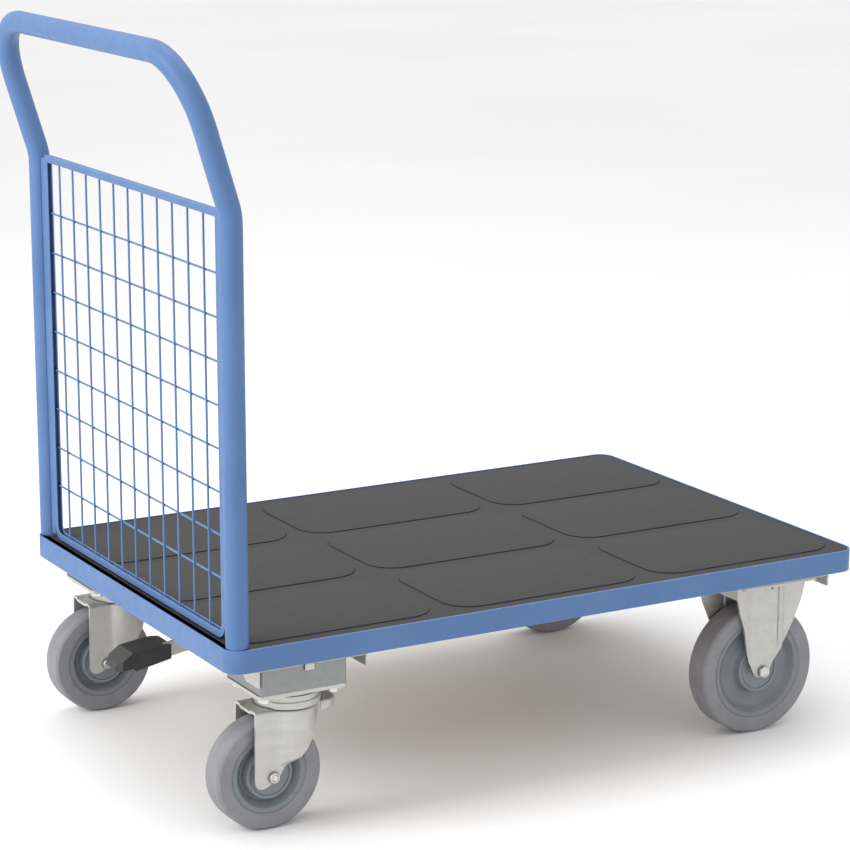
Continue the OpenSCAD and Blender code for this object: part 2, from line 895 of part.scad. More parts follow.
// Two ball bearings, each drawn as its inner and outer ring and its seal
module bearings() {
  ring_t = 3.5;
  seal_inset = 1;
  inner_ring_r = sleeve_r + play;
  seal_r = inner_ring_r + ring_t;
  for (s = [-1, 1])
    translate([0, s * (hub_w - bearing_w) / 2, 0]) {
      spun() translate([inner_ring_r, -bearing_w / 2]) square([ring_t, bearing_w]);
      spun() translate([bearing_r - ring_t, -bearing_w / 2]) square([ring_t, bearing_w]);
      spun() translate([seal_r, seal_inset - bearing_w / 2])
        square([bearing_r - ring_t - seal_r, bearing_w - 2 * seal_inset]);
    }
}

// Thread guards: thin discs over the bearings on both faces of the wheel
module guards() {
  for (s = [-1, 1])
    translate([0, s * (hub_w + guard_t) / 2, 0]) difference() {
      across(guard_r, guard_t);
      across(guard_bore_r, guard_t + cut);
    }
}

module at_swivel_axle(side) {
  translate([swivel_axle_x, side * wheel_y, swivel_r]) children();
}

module at_fixed_axle(side) {
  translate([fixed_x, side * wheel_y, fixed_r]) children();
}

module swivel_axle_right() {
  color(bright_steel) at_swivel_axle(-1) axle_set();
}

module swivel_axle_left() {
  color(bright_steel) at_swivel_axle(1) axle_set();
}

module swivel_sleeve_right() {
  color(bright_steel) at_swivel_axle(-1) sleeve();
}

module swivel_sleeve_left() {
  color(bright_steel) at_swivel_axle(1) sleeve();
}

module swivel_hub_right() {
  color(hub_grey) at_swivel_axle(-1) hub(swivel_r);
}

module swivel_hub_left() {
  color(hub_grey) at_swivel_axle(1) hub(swivel_r);
}

module swivel_tyre_right() {
  color(tyre_grey) at_swivel_axle(-1) tyre(swivel_r);
}

module swivel_tyre_left() {
  color(tyre_grey) at_swivel_axle(1) tyre(swivel_r);
}

module swivel_bearings_right() {
  color(bright_steel) at_swivel_axle(-1) bearings();
}

module swivel_bearings_left() {
  color(bright_steel) at_swivel_axle(1) bearings();
}

module swivel_guards_right() {
  color(hub_grey) at_swivel_axle(-1) guards();
}

module swivel_guards_left() {
  color(hub_grey) at_swivel_axle(1) guards();
}

// ---------- Fixed castors ----------

// Side view of the fixed fork's leg, from the axle and the floor
module fixed_leg_outline() {
  tip_r = 10;
  polygon([
    [-50, 242], [-49, 234], [-42, 195], [-33, 170], [-28, 137], [-25, 117], [-18, 99],
    [-10, 91], [8, 95], [18, 114], [40, 141], [57, 172], [69, 203], [76, 234], [77, 242]
  ]);
  translate([-6, 101]) circle(tip_r);
  translate([0, fixed_r]) circle(axle_boss_r);
}

// Plan of one pressed leg: a proud middle panel between two edges that are set back
module fixed_leg_plan() {
  edge_set_back = 3.8;
  panel_in = fork_gap / 2;
  edge_in = panel_in - edge_set_back;
  edge_out = edge_in + leg_t;
  polygon([
    [-60, edge_in], [-28, edge_in], [-22, panel_in], [30, panel_in], [37, edge_in], [80, edge_in],
    [80, edge_out], [37, edge_out], [30, panel_in + leg_t], [-22, panel_in + leg_t],
    [-28, edge_out], [-60, edge_out]
  ]);
}

module fixed_fork(side) {
  plate_offset = fixed_plate_x - fixed_x;
  plate_bottom = web_bottom - leg_t;
  gauge_hole_r = 2.5;
  color(zinc) translate([fixed_x, side * wheel_y, 0]) difference() {
    union() {
      translate([plate_offset, 0, plate_bottom])
        linear_extrude(leg_t) rounded_rect(plate_l, plate_w, plate_corner_r);
      for (turn = [0, 180]) rotate(turn) fixed_leg();
    }
    translate([plate_offset, 0, plate_bottom]) at_plate_holes() {
      translate([0, 0, -bolt_play]) cylinder(
        r1 = sunk_head_r + 2 * bolt_play, r2 = bolt_d / 2 + bolt_play, h = leg_t + bolt_play
      );
      cylinder(r = bolt_d / 2 + bolt_play, h = leg_t + cut);
    }
    member_notch();
    translate([0, 0, fixed_r]) across(axle_r, plate_w);
    for (turn = [0, 180])
      rotate(turn) translate([13, -plate_w / 2, plate_bottom - 8]) across(gauge_hole_r, plate_w);
  }
}

// One leg; both legs are the same pressing, the second one turned half round
module fixed_leg() {
  intersection() {
    linear_extrude(web_bottom - cut) mirror([0, 1, 0]) fixed_leg_plan();
    side_plate(2 * plate_w) fixed_leg_outline();
  }
}

// Room for the cross member's flange behind the upper end of the turned leg
module member_notch() {
  flange_x = handle_edge + member_front[0] + member_t - fixed_x;
  notch_gap = 1;
  notch_z = rim_bottom - member_h - notch_gap;
  translate([flange_x + notch_gap - plate_l, -plate_w / 2, notch_z])
    cube([plate_l, plate_w, rim_bottom - notch_z]);
}

module fixed_fork_right() {
  fixed_fork(-1);
}

module fixed_fork_left() {
  fixed_fork(1);
}

module fixed_axles() {
  color(bright_steel) for (side = [-1, 1]) at_fixed_axle(side) mirror([0, 1, 0]) axle_set();
}

module fixed_sleeves() {
  color(bright_steel) for (side = [-1, 1]) at_fixed_axle(side) sleeve();
}

module fixed_hub_right() {
  color(hub_grey) at_fixed_axle(-1) hub(fixed_r);
}

module fixed_hub_left() {
  color(hub_grey) at_fixed_axle(1) hub(fixed_r);
}

module fixed_tyre_right() {
  color(tyre_grey) at_fixed_axle(-1) tyre(fixed_r);
}

module fixed_tyre_left() {
  color(tyre_grey) at_fixed_axle(1) tyre(fixed_r);
}

module fixed_bearings_right() {
  color(bright_steel) at_fixed_axle(-1) bearings();
}

module fixed_bearings_left() {
  color(bright_steel) at_fixed_axle(1) bearings();
}

module fixed_guards_right() {
  color(hub_grey) at_fixed_axle(-1) guards();
}

module fixed_guards_left() {
  color(hub_grey) at_fixed_axle(1) guards();
}

deck_rim();
deck_board();
deck_mat();
deck_rails();
cross_member_rear();
cross_member_front();
rail_screws();
corner_plates();
handle_bolts();
handle_tube();
mesh_frame();
mesh_wires_upright();
mesh_wires_level();
mesh_strips();
castor_bolts();
castor_nuts();
brake_box_right();
brake_box_left();
brake_shaft();
brake_cams();
roll_pins();
pedal_lever();
foot_pad();
return_spring();
plunger_right();
plunger_left();
swivel_plate_right();
swivel_plate_left();
kingpins();
swivel_balls_right();
swivel_balls_left();
swivel_fork_right();
swivel_fork_left();
swivel_axle_right();
swivel_axle_left();
swivel_sleeve_right();
swivel_sleeve_left();
swivel_hub_right();
swivel_hub_left();
swivel_tyre_right();
swivel_tyre_left();
swivel_bearings_right();
swivel_bearings_left();
swivel_guards_right();
swivel_guards_left();
fixed_fork_right();
fixed_fork_left();
fixed_axles();
fixed_sleeves();
fixed_hub_right();
fixed_hub_left();
fixed_tyre_right();
fixed_tyre_left();
fixed_bearings_right();
fixed_bearings_left();
fixed_guards_right();
fixed_guards_left();
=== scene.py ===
"""Looks of the platform cart: finishes, fine shapes, floor, light and camera around its CAD frame."""

import json
import math

import bmesh
import bpy
from mathutils import Matrix, Vector


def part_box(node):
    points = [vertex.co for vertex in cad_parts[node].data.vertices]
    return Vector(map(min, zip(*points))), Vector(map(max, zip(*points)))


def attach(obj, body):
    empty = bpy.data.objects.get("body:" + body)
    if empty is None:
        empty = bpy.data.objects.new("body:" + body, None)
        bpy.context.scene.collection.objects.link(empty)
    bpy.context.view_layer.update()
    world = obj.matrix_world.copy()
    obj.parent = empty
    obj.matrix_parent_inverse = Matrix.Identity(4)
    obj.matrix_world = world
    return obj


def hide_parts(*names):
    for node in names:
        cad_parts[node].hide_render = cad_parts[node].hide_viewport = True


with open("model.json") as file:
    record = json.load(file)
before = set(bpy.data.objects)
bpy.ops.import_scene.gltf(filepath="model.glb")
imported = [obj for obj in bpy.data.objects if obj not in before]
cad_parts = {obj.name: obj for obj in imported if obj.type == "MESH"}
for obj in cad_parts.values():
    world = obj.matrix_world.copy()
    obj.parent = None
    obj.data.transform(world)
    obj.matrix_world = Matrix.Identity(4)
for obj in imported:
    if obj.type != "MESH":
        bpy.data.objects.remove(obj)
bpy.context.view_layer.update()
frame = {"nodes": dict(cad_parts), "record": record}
NODES = frame["nodes"]
MM = 0.001
SIDES = {"right": -1, "left": 1}

# Places of the factor, the two colours and the result among a Mix node's sockets
MIX_FACTOR, MIX_FIRST, MIX_SECOND, MIX_RESULT = 0, 6, 7, 2


# ---------- Node trees ----------


class Finish:
    """One procedural material, with short calls for the nodes that it is made of."""

    def __init__(self, name, **constants):
        self.material = bpy.data.materials.new(name)
        self.material.use_nodes = True
        self.tree = self.material.node_tree
        self.shader = self.tree.nodes["Principled BSDF"]
        for socket, value in constants.items():
            self.shader.inputs[socket.replace("_", " ")].default_value = value
        self.place = self.node("ShaderNodeTexCoord").outputs["Object"]

    def node(self, kind, settings=(), **inputs):
        """A node with its settings, and inputs that are either numbers or other nodes' outputs."""
        made = self.tree.nodes.new(kind)
        for key, value in dict(settings).items():
            setattr(made, key, value)
        for key, value in inputs.items():
            socket = made.inputs[key.replace("_", " ")]
            if isinstance(value, bpy.types.NodeSocket):
                self.tree.links.new(value, socket)
            else:
                socket.default_value = value
        return made

    def stretched(self, scale):
        """Object coordinates multiplied by scale, so that a pattern can run along one axis."""
        mapping = self.node("ShaderNodeMapping", Scale=scale)
        self.tree.links.new(self.place, mapping.inputs["Vector"])
        return mapping.outputs["Vector"]

    def noise(self, scale, detail=4.0, roughness=0.5, vector=None):
        """Cloudy noise in object coordinates, or along vector if that is given."""
        made = self.node(
            "ShaderNodeTexNoise", Scale=scale, Detail=detail, Roughness=roughness
        )
        self.tree.links.new(vector or self.place, made.inputs["Vector"])
        return made.outputs["Fac"]

    def cells(self, scale, output="Distance"):
        """Random cells in object coordinates: the distance to each middle, or a colour for each."""
        made = self.node("ShaderNodeTexVoronoi", Scale=scale)
        self.tree.links.new(self.place, made.inputs["Vector"])
        return made.outputs[output]

    def spread(self, value, low, high, dark=0.35, light=0.65):
        """value, remapped from dark..light to low..high."""
        made = self.node("ShaderNodeMapRange", To_Min=low, To_Max=high)
        made.inputs["From Min"].default_value = dark
        made.inputs["From Max"].default_value = light
        self.tree.links.new(value, made.inputs["Value"])
        return made.outputs["Result"]

    def blend(self, amount, first, second):
        """The colour that runs from first to second as amount goes from 0 to 1."""
        made = self.node("ShaderNodeMix", {"data_type": "RGBA"})
        for place, value in ((MIX_FIRST, first), (MIX_SECOND, second)):
            socket = made.inputs[place]
            if isinstance(value, bpy.types.NodeSocket):
                self.tree.links.new(value, socket)
            else:
                socket.default_value = (*value, 1.0)
        self.tree.links.new(amount, made.inputs[MIX_FACTOR])
        return made.outputs[MIX_RESULT]

    def edges(self, radius):
        """0 on flat ground, rising to 1 on edges sharper than radius; a mask for painted highlights.
        """
        rounded = self.node("ShaderNodeBevel", {"samples": 4}, Radius=radius)
        plain = self.node("ShaderNodeNewGeometry").outputs["Normal"]
        dot = self.node("ShaderNodeVectorMath", {"operation": "DOT_PRODUCT"})
        self.tree.links.new(rounded.outputs["Normal"], dot.inputs[0])
        self.tree.links.new(plain, dot.inputs[1])
        return self.spread(dot.outputs["Value"], 1.0, 0.0, 0.85, 0.99)

    def crease_shade(self, distance):
        """Ambient occlusion as a mask for painted shade: 0 in the open, rising to 1 in corners and
        grooves about as deep as distance.
        """
        shade = self.node("ShaderNodeAmbientOcclusion", {"samples": 8}, Distance=distance)
        return self.spread(shade.outputs["AO"], 1.0, 0.0, 0.5, 0.9)

    def bump(self, height, distance):
        """Adds height on top of any bump already there."""
        made = self.node("ShaderNodeBump", Distance=distance)
        self.tree.links.new(height, made.inputs["Height"])
        before = self.shader.inputs["Normal"]
        if before.is_linked:
            self.tree.links.new(before.links[0].from_socket, made.inputs["Normal"])
        self.tree.links.new(made.outputs["Normal"], before)

    def paint(self, **sockets):
        """Links node outputs to the shader's sockets."""
        for socket, value in sockets.items():
            self.tree.links.new(value, self.shader.inputs[socket.replace("_", " ")])
        return self.material


def blue_paint():
    """Satin powder coat: orange peel, a little unevenness, a painted highlight on the edges and
    painted shade in the corners.
    """
    finish = Finish(
        "blue_paint", Metallic=0.0, Specular_IOR_Level=0.3, Coat_Weight=0.05, Coat_Roughness=0.3
    )
    body = finish.blend(
        finish.spread(finish.noise(9.0), 0.0, 1.0),
        (0.080, 0.162, 0.345),
        (0.093, 0.180, 0.372),
    )
    # Edges painted lighter blue: a painted highlight where light would catch the rounded edges.
    edge_lit = finish.blend(finish.edges(0.0008), body, (0.36, 0.47, 0.68))
    # Corners and grooves painted dark blue: painted shade.
    colour = finish.blend(finish.crease_shade(0.004), edge_lit, (0.03, 0.065, 0.16))
    finish.bump(finish.noise(1400.0, 1.0), 0.00005)
    rough = finish.spread(finish.noise(60.0), 0.44, 0.56)
    return finish.paint(Base_Color=colour, Roughness=rough)


def zinc_steel(name, dark, light, rough):
    """Zinc-plated sheet: faint crystal flowers, rolling streaks, a painted highlight on the edges and
    painted shade in the corners.
    """
    finish = Finish(name, Metallic=0.72)
    flowers = finish.cells(120.0, "Color")
    grey = finish.node("ShaderNodeRGBToBW")
    finish.tree.links.new(flowers, grey.inputs["Color"])
    streaks = finish.noise(40.0, 3.0, vector=finish.stretched((0.3, 1.0, 2.0)))
    mixed = finish.node("ShaderNodeMath", {"operation": "ADD"})
    finish.tree.links.new(finish.spread(grey.outputs["Val"], 0.0, 0.45, 0.0, 1.0), mixed.inputs[0])
    finish.tree.links.new(finish.spread(streaks, 0.0, 0.55), mixed.inputs[1])
    body = finish.blend(mixed.outputs["Value"], dark, light)
    # Edges painted lighter: a painted highlight.
    edge_lit = finish.blend(finish.edges(0.0006), body, tuple(min(1.0, c * 1.35) for c in light))
    # Corners and grooves painted darker: painted shade.
    colour = finish.blend(finish.crease_shade(0.005), edge_lit, tuple(c * 0.35 for c in dark))
    finish.bump(finish.noise(900.0, 2.0), 0.00003)
    return finish.paint(
        Base_Color=colour, Roughness=finish.spread(streaks, rough - 0.06, rough + 0.08)
    )


def bright_steel():
    """Turned or ground bare steel with fine rings of tool marks."""
    finish = Finish("bright_steel", Metallic=1.0)
    marks = finish.noise(300.0, 2.0, vector=finish.stretched((1.0, 8.0, 8.0)))
    colour = finish.blend(
        finish.spread(finish.noise(80.0), 0.0, 1.0), (0.55, 0.54, 0.52), (0.68, 0.67, 0.65)
    )
    finish.bump(marks, 0.00003)
    return finish.paint(Base_Color=colour, Roughness=finish.spread(marks, 0.26, 0.4))


def mat_rubber():
    """Dark mat with a fine pebbled grain, clouded by handling."""
    finish = Finish("mat_rubber", Metallic=0.0, Specular_IOR_Level=0.35)
    clouds = finish.noise(7.0, 6.0, 0.62)
    specks = finish.noise(520.0, 2.0)
    cloudy = finish.spread(clouds, 0.0, 1.0)
    body = finish.blend(cloudy, (0.033, 0.033, 0.033), (0.048, 0.048, 0.048))
    grain = finish.blend(finish.spread(specks, 0.0, 0.5, 0.5, 0.75), body, (0.085, 0.085, 0.085))
    # Corners and the feet of the pads painted near black: painted shade that outlines the pads.
    colour = finish.blend(finish.crease_shade(0.004), grain, (0.012, 0.012, 0.012))
    finish.bump(finish.cells(650.0), 0.00022)
    finish.bump(finish.noise(110.0, 3.0), 0.00016)
    return finish.paint(Base_Color=colour, Roughness=finish.spread(clouds, 0.7, 0.88))


def tyre_rubber():
    """Grey elastic rubber, cloudy in tone and in dullness."""
    finish = Finish("tyre_rubber", Metallic=0.0, Specular_IOR_Level=0.4)
    clouds = finish.noise(30.0, 5.0, 0.6)
    cloudy = finish.spread(clouds, 0.0, 1.0)
    colour = finish.blend(cloudy, (0.205, 0.203, 0.218), (0.245, 0.243, 0.258))
    finish.bump(finish.noise(700.0, 3.0), 0.00008)
    return finish.paint(Base_Color=colour, Roughness=finish.spread(clouds, 0.5, 0.64))


def hub_plastic():
    """Blue-grey moulded nylon with a faint flow pattern."""
    finish = Finish("hub_plastic", Metallic=0.0, Specular_IOR_Level=0.5)
    flow = finish.noise(26.0, 4.0, 0.55)
    uneven = finish.spread(flow, 0.0, 1.0)
    colour = finish.blend(uneven, (0.165, 0.182, 0.205), (0.200, 0.217, 0.240))
    finish.bump(finish.noise(600.0, 2.0), 0.00004)
    return finish.paint(Base_Color=colour, Roughness=finish.spread(flow, 0.38, 0.5))


def pedal_plastic():
    """Black glass-filled nylon with a spark-eroded texture."""
    finish = Finish("pedal_plastic", Metallic=0.0)
    flow = finish.noise(45.0, 4.0)
    uneven = finish.spread(flow, 0.0, 1.0)
    colour = finish.blend(uneven, (0.022, 0.022, 0.022), (0.034, 0.034, 0.034))
    finish.bump(finish.noise(1500.0, 2.0), 0.00005)
    return finish.paint(Base_Color=colour, Roughness=finish.spread(flow, 0.42, 0.56))


def plywood():
    """Birch ply: long grain on the faces and the glued layers on the edges."""
    finish = Finish("plywood", Metallic=0.0, Specular_IOR_Level=0.3)
    grain = finish.noise(30.0, 6.0, 0.65, vector=finish.stretched((0.12, 1.0, 4.0)))
    layers = finish.node("ShaderNodeTexWave", {"bands_direction": "Z"}, Scale=90.0, Distortion=0.4)
    finish.tree.links.new(finish.place, layers.inputs["Vector"])
    body = finish.blend(finish.spread(grain, 0.0, 1.0), (0.42, 0.27, 0.14), (0.66, 0.48, 0.29))
    glued = finish.spread(layers.outputs["Fac"], 0.0, 0.35, 0.4, 1.0)
    colour = finish.blend(glued, body, (0.3, 0.18, 0.09))
    finish.bump(grain, 0.0001)
    return finish.paint(Base_Color=colour, Roughness=finish.spread(grain, 0.55, 0.75))


MATERIALS = {
    "blue_paint": blue_paint(),
    "zinc_steel": zinc_steel("zinc_steel", (0.455, 0.45, 0.43), (0.55, 0.545, 0.525), 0.42),
    "box_steel": zinc_steel("box_steel", (0.24, 0.245, 0.247), (0.295, 0.30, 0.302), 0.46),
    "bright_steel": bright_steel(),
    "mat_rubber": mat_rubber(),
    "plywood": plywood(),
    "tyre_rubber": tyre_rubber(),
    "hub_plastic": hub_plastic(),
    "pedal_plastic": pedal_plastic(),
}


def dress_nodes():
    """Gives every CAD node the finish of the material slot that the record names for it."""
    for part in frame["record"]["subparts"]:
        data = NODES[part["node"]].data
        data.materials.clear()
        data.materials.append(MATERIALS[part["material_slot"]])


def soften(node, width, angle=30.0, segments=2):
    """Rounds a CAD node's edges for show: joined faces, flat areas as one face, then a bevel."""
    obj = NODES[node]
    weld = obj.modifiers.new("weld", "WELD")
    weld.merge_threshold = 1e-6
    flat = obj.modifiers.new("flat", "DECIMATE")
    flat.decimate_type = "DISSOLVE"
    flat.angle_limit = math.radians(0.6)
    bevel = obj.modifiers.new("bevel", "BEVEL")
    bevel.width = width
    bevel.segments = segments
    bevel.limit_method = "ANGLE"
    bevel.angle_limit = math.radians(angle)
    bevel.use_clamp_overlap = True
    bevel.harden_normals = True


dress_nodes()


# ---------- Mesh helpers, in millimetres ----------


def add_object(name, data):
    """A new object in the scene that holds data."""
    obj = bpy.data.objects.new(name, data)
    bpy.context.scene.collection.objects.link(obj)
    return obj


def applied(obj):
    """obj's mesh with its modifiers applied."""
    evaluated = obj.evaluated_get(bpy.context.evaluated_depsgraph_get())
    return bpy.data.meshes.new_from_object(evaluated)


def piece(name, mesh, body, material, *nodes):
    """Shows mesh on a body in one of the finishes, in place of the CAD nodes named."""
    mesh.transform(Matrix.Scale(MM, 4))
    mesh.materials.append(MATERIALS[material])
    for face in mesh.polygons:
        face.use_smooth = True
    mesh.set_sharp_from_angle(angle=math.radians(32))
    obj = add_object(name, mesh)
    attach(obj, body)
    if nodes:
        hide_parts(*nodes)
    return obj


def tube(name, path, radius, resolution, body, material, node):
    """A round tube or wire along a path of points, in place of a CAD node."""
    curve = bpy.data.curves.new(name, "CURVE")
    curve.dimensions = "3D"
    curve.bevel_depth = radius * MM
    curve.bevel_resolution = resolution
    spline = curve.splines.new("POLY")
    spline.points.add(len(path) - 1)
    for point, place in zip(spline.points, path):
        point.co = (*(place * MM), 1.0)
    spline.use_smooth = True
    curve.materials.append(MATERIALS[material])
    obj = add_object(name, curve)
    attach(obj, body)
    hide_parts(node)


def finished(bm, name):
    """bm as a mesh, with its faces turned outwards."""
    bmesh.ops.recalc_face_normals(bm, faces=bm.faces)
    mesh = bpy.data.meshes.new(name)
    bm.to_mesh(mesh)
    bm.free()
    return mesh


def rounded(corners, steps=5):
    """A closed outline of (x, y, radius) corners with each corner drawn as an arc."""
    outline = []
    for i, (x, y, radius) in enumerate(corners):
        corner = Vector((x, y))
        back = Vector(corners[i - 1][:2]) - corner
        ahead = Vector(corners[(i + 1) % len(corners)][:2]) - corner
        half = back.angle(ahead) / 2
        reach = min(radius / math.tan(half), 0.48 * back.length, 0.48 * ahead.length)
        if reach < 1e-6:
            outline.append(corner)
            continue
        middle = back.normalized() + ahead.normalized()
        centre = corner + middle.normalized() * (reach / math.cos(half))
        arm = corner + back.normalized() * reach - centre
        sweep = arm.angle_signed(corner + ahead.normalized() * reach - centre)
        for k in range(steps + 1):
            outline.append(centre + Matrix.Rotation(-sweep * k / steps, 2) @ arm)
    return outline


def join_rings(bm, rings, closed=True):
    """Faces between each ring of vertices and the next."""
    pairs = zip(rings, rings[1:] + rings[:1]) if closed else zip(rings, rings[1:])
    for one, two in pairs:
        for j in range(len(one)):
            k = (j + 1) % len(one)
            bm.faces.new((one[j], one[k], two[k], two[j]))


def add_turned(bm, outline, place, turns=96, axis="Y", start=0.0, sweep=360.0):
    """A closed outline of (radius, along) points, turned about an axis through place."""
    whole = sweep >= 360.0
    rings = []
    for i in range(turns if whole else turns + 1):
        angle = math.radians(start + sweep * i / turns)
        ring = []
        for radius, along in outline:
            across, up = radius * math.cos(angle), radius * math.sin(angle)
            offset = (across, along, up) if axis == "Y" else (across, up, along)
            ring.append(bm.verts.new(Vector(place) + Vector(offset)))
        rings.append(ring)
    join_rings(bm, rings, closed=whole)
    if not whole:
        bm.faces.new(rings[0])
        bm.faces.new(rings[-1])


def turned(name, outline, place, turns):
    """A closed outline turned whole about the cart's Y through place, as a mesh."""
    bm = bmesh.new()
    add_turned(bm, outline, place, turns)
    return finished(bm, name)


def add_stack(bm, rings):
    """A closed body through a stack of rings of points, with flat ends."""
    made = [[bm.verts.new(point) for point in ring] for ring in rings]
    join_rings(bm, made, closed=False)
    bm.faces.new(made[0])
    bm.faces.new(made[-1])


def slab_ring(middle, length, width, radius, z):
    """One level of a slab with a rounded rectangular plan."""
    corner_steps = 10
    corners = [
        (x * length / 2, y * width / 2, radius) for x, y in ((1, 1), (-1, 1), (-1, -1), (1, -1))
    ]
    return [Vector((middle.x + p.x, middle.y + p.y, z)) for p in rounded(corners, corner_steps)]


def add_slab(bm, middle, length, width, radius, bottom, top, edge, lower_edge=0.01):
    """A slab with a rounded upper edge and a chamfered lower one."""
    cut_back = 2 * lower_edge
    rings = [
        slab_ring(middle, length - cut_back, width - cut_back, radius - lower_edge, bottom),
        slab_ring(middle, length, width, radius, bottom + lower_edge),
    ]
    edge_steps = 4
    for k in range(edge_steps + 1):
        turn = math.pi / 2 * k / edge_steps
        inset = edge * (1 - math.cos(turn))
        rings.append(
            slab_ring(
                middle,
                length - 2 * inset,
                width - 2 * inset,
                radius - inset,
                top - edge + edge * math.sin(turn),
            )
        )
    add_stack(bm, rings)


def box_mm(node):
    """A CAD node's lowest and highest corner at rest."""
    lo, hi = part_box(node)
    return lo / MM, hi / MM


def middle_mm(node):
    """The middle of a CAD node's box at rest."""
    lo, hi = box_mm(node)
    return (lo + hi) / 2


# ---------- Fasteners ----------


def hex_radius(angle, across_flats):
    """How far a hexagon's side is from its middle, at an angle."""
    sixth = math.pi / 3
    return across_flats / 2 / math.cos((angle + sixth / 2) % sixth - sixth / 2)


def add_hexagon(bm, frame_matrix, across_flats, height, bore):
    """A chamfered hexagon with a bore, from local z = 0 up to its height."""
    turns = 72
    crown = across_flats / 2 * 0.96
    rings = []
    for i in range(turns):
        angle = 2 * math.pi * i / turns
        reach = hex_radius(angle, across_flats)
        fall = (reach - crown) * math.tan(math.radians(30))
        outline = [
            (bore, 0.4), (bore + 0.4, 0.0), (crown, 0.0), (reach, fall),
            (reach, height - fall), (crown, height), (bore + 0.4, height), (bore, height - 0.4),
        ]
        rings.append([
            bm.verts.new(frame_matrix @ Vector((r * math.cos(angle), r * math.sin(angle), z)))
            for r, z in outline
        ])
    join_rings(bm, rings)


def add_thread(bm, frame_matrix, diameter, start, end, pitch):
    """A rod with a helical thread and a chamfered tip, from local z = start to end."""
    turns = 36
    levels = max(8, int((end - start) / pitch * 8))
    depth = 0.55 * pitch
    rings = []
    for level in range(levels + 1):
        z = start + (end - start) * level / levels
        ring = []
        for i in range(turns):
            phase = (z / pitch - i / turns) % 1.0
            groove = depth * abs(2 * phase - 1)
            radius = min(diameter / 2 - groove, diameter / 2 - 1.0 + (end - z))
            angle = 2 * math.pi * i / turns
            ring.append(frame_matrix @ Vector((radius * math.cos(angle), radius * math.sin(angle), z)))
        rings.append(ring)
    add_stack(bm, rings)


ROUND_STEPS = 48
COARSE_PITCH = 1.5


def add_levels(bm, frame_matrix, levels):
    """A round body through (radius, local z) levels."""
    around = [2 * math.pi * i / ROUND_STEPS for i in range(ROUND_STEPS)]
    add_stack(bm, [
        [frame_matrix @ Vector((r * math.cos(a), r * math.sin(a), z)) for a in around]
        for r, z in levels
    ])


def add_rod(bm, frame_matrix, radius, start, end):
    """A round rod with chamfered ends, from local z = start to end."""
    chamfer = 0.4
    neck = radius - chamfer
    levels = [(neck, start), (radius, start + chamfer), (radius, end - chamfer), (neck, end)]
    add_levels(bm, frame_matrix, levels)


def add_bolt(bm, frame_matrix, diameter, length, across_flats, head, threaded, pitch=COARSE_PITCH):
    """A hexagon bolt: its head lies below local z = 0 and its shank runs up to its length."""
    lowered = frame_matrix @ Matrix.Translation((0, 0, -head))
    add_hexagon(bm, lowered, across_flats, head, diameter / 2 - 0.5)
    add_rod(bm, lowered, diameter / 2 - 0.3, 0.6, head + 1.0)
    add_rod(bm, frame_matrix, diameter / 2, 0.0, length - threaded)
    add_thread(bm, frame_matrix, diameter, length - threaded - 0.5, length, pitch)


def upright(x, y, z, up=True):
    """A local frame whose +Z points up, or down if up is False."""
    place = Matrix.Translation((x, y, z))
    return place if up else place @ Matrix.Rotation(math.pi, 4, "X")


def crosswise(x, y, z, side):
    """A local frame whose +Z points to that side of the cart."""
    return Matrix.Translation((x, y, z)) @ Matrix.Rotation(-side * math.pi / 2, 4, "X")


# ---------- Deck ----------

EDGE = {"rim": 0.9, "sheet": 0.7, "small": 0.4}
TUBE_R = 16.0
POST_X = middle_mm("mesh_frame").x
HANDLE_BOLT_AF = 13.0
POST_Y = middle_mm("mesh_frame").y + box_mm("handle_bolts")[1].y - HANDLE_BOLT_AF / 2


def deck_mat():
    """The mat with nine raised pads; each pad's upper edge is rounded and its side stands upright."""
    pad_gap, pad_radius, margin_x, margin_y = 25.0, 45.0, 15.0, 21.5
    base_t, mat_t, corner_radius = 3.0, 4.5, 21.5
    lo, hi = box_mm("deck_mat")
    middle = (lo + hi) / 2
    length, width = hi.x - lo.x, hi.y - lo.y
    base_top = lo.z + base_t
    bm = bmesh.new()
    add_slab(bm, middle, length, width, corner_radius, lo.z, base_top, 0.6)
    base = cut_posts(finished(bm, "mat_base"))
    bm = bmesh.new()
    bm.from_mesh(base)
    pad_l = (length - 2 * margin_x - 2 * pad_gap) / 3
    pad_w = (width - 2 * margin_y - 2 * pad_gap) / 3
    for i in (-1, 0, 1):
        for j in (-1, 0, 1):
            centre = middle + Vector((i * (pad_l + pad_gap), j * (pad_w + pad_gap), 0))
            add_slab(bm, centre, pad_l, pad_w, pad_radius, base_top - 1.0, lo.z + mat_t, 0.4)
    piece("mat", finished(bm, "mat"), "deck", "mat_rubber", "deck_mat")


def cut(mesh, cutter):
    """mesh less the closed body in the bmesh cutter."""
    target = add_object("target", mesh)
    tool = add_object("cutter", finished(cutter, "cutter"))
    boolean = target.modifiers.new("cut", "BOOLEAN")
    boolean.object = tool
    boolean.operation = "DIFFERENCE"
    boolean.solver = "EXACT"
    result = applied(target)
    for obj in (target, tool):
        bpy.data.objects.remove(obj)
    return result


def cut_posts(mesh):
    """mesh with the two holes of the handle posts."""
    play = 0.2
    level = box_mm("handle_tube")[0].z
    cutter = bmesh.new()
    for side in (-1, 1):
        place = upright(POST_X, side * POST_Y, level)
        add_rod(cutter, place, TUBE_R + play, -100.0, 100.0)
    return cut(mesh, cutter)


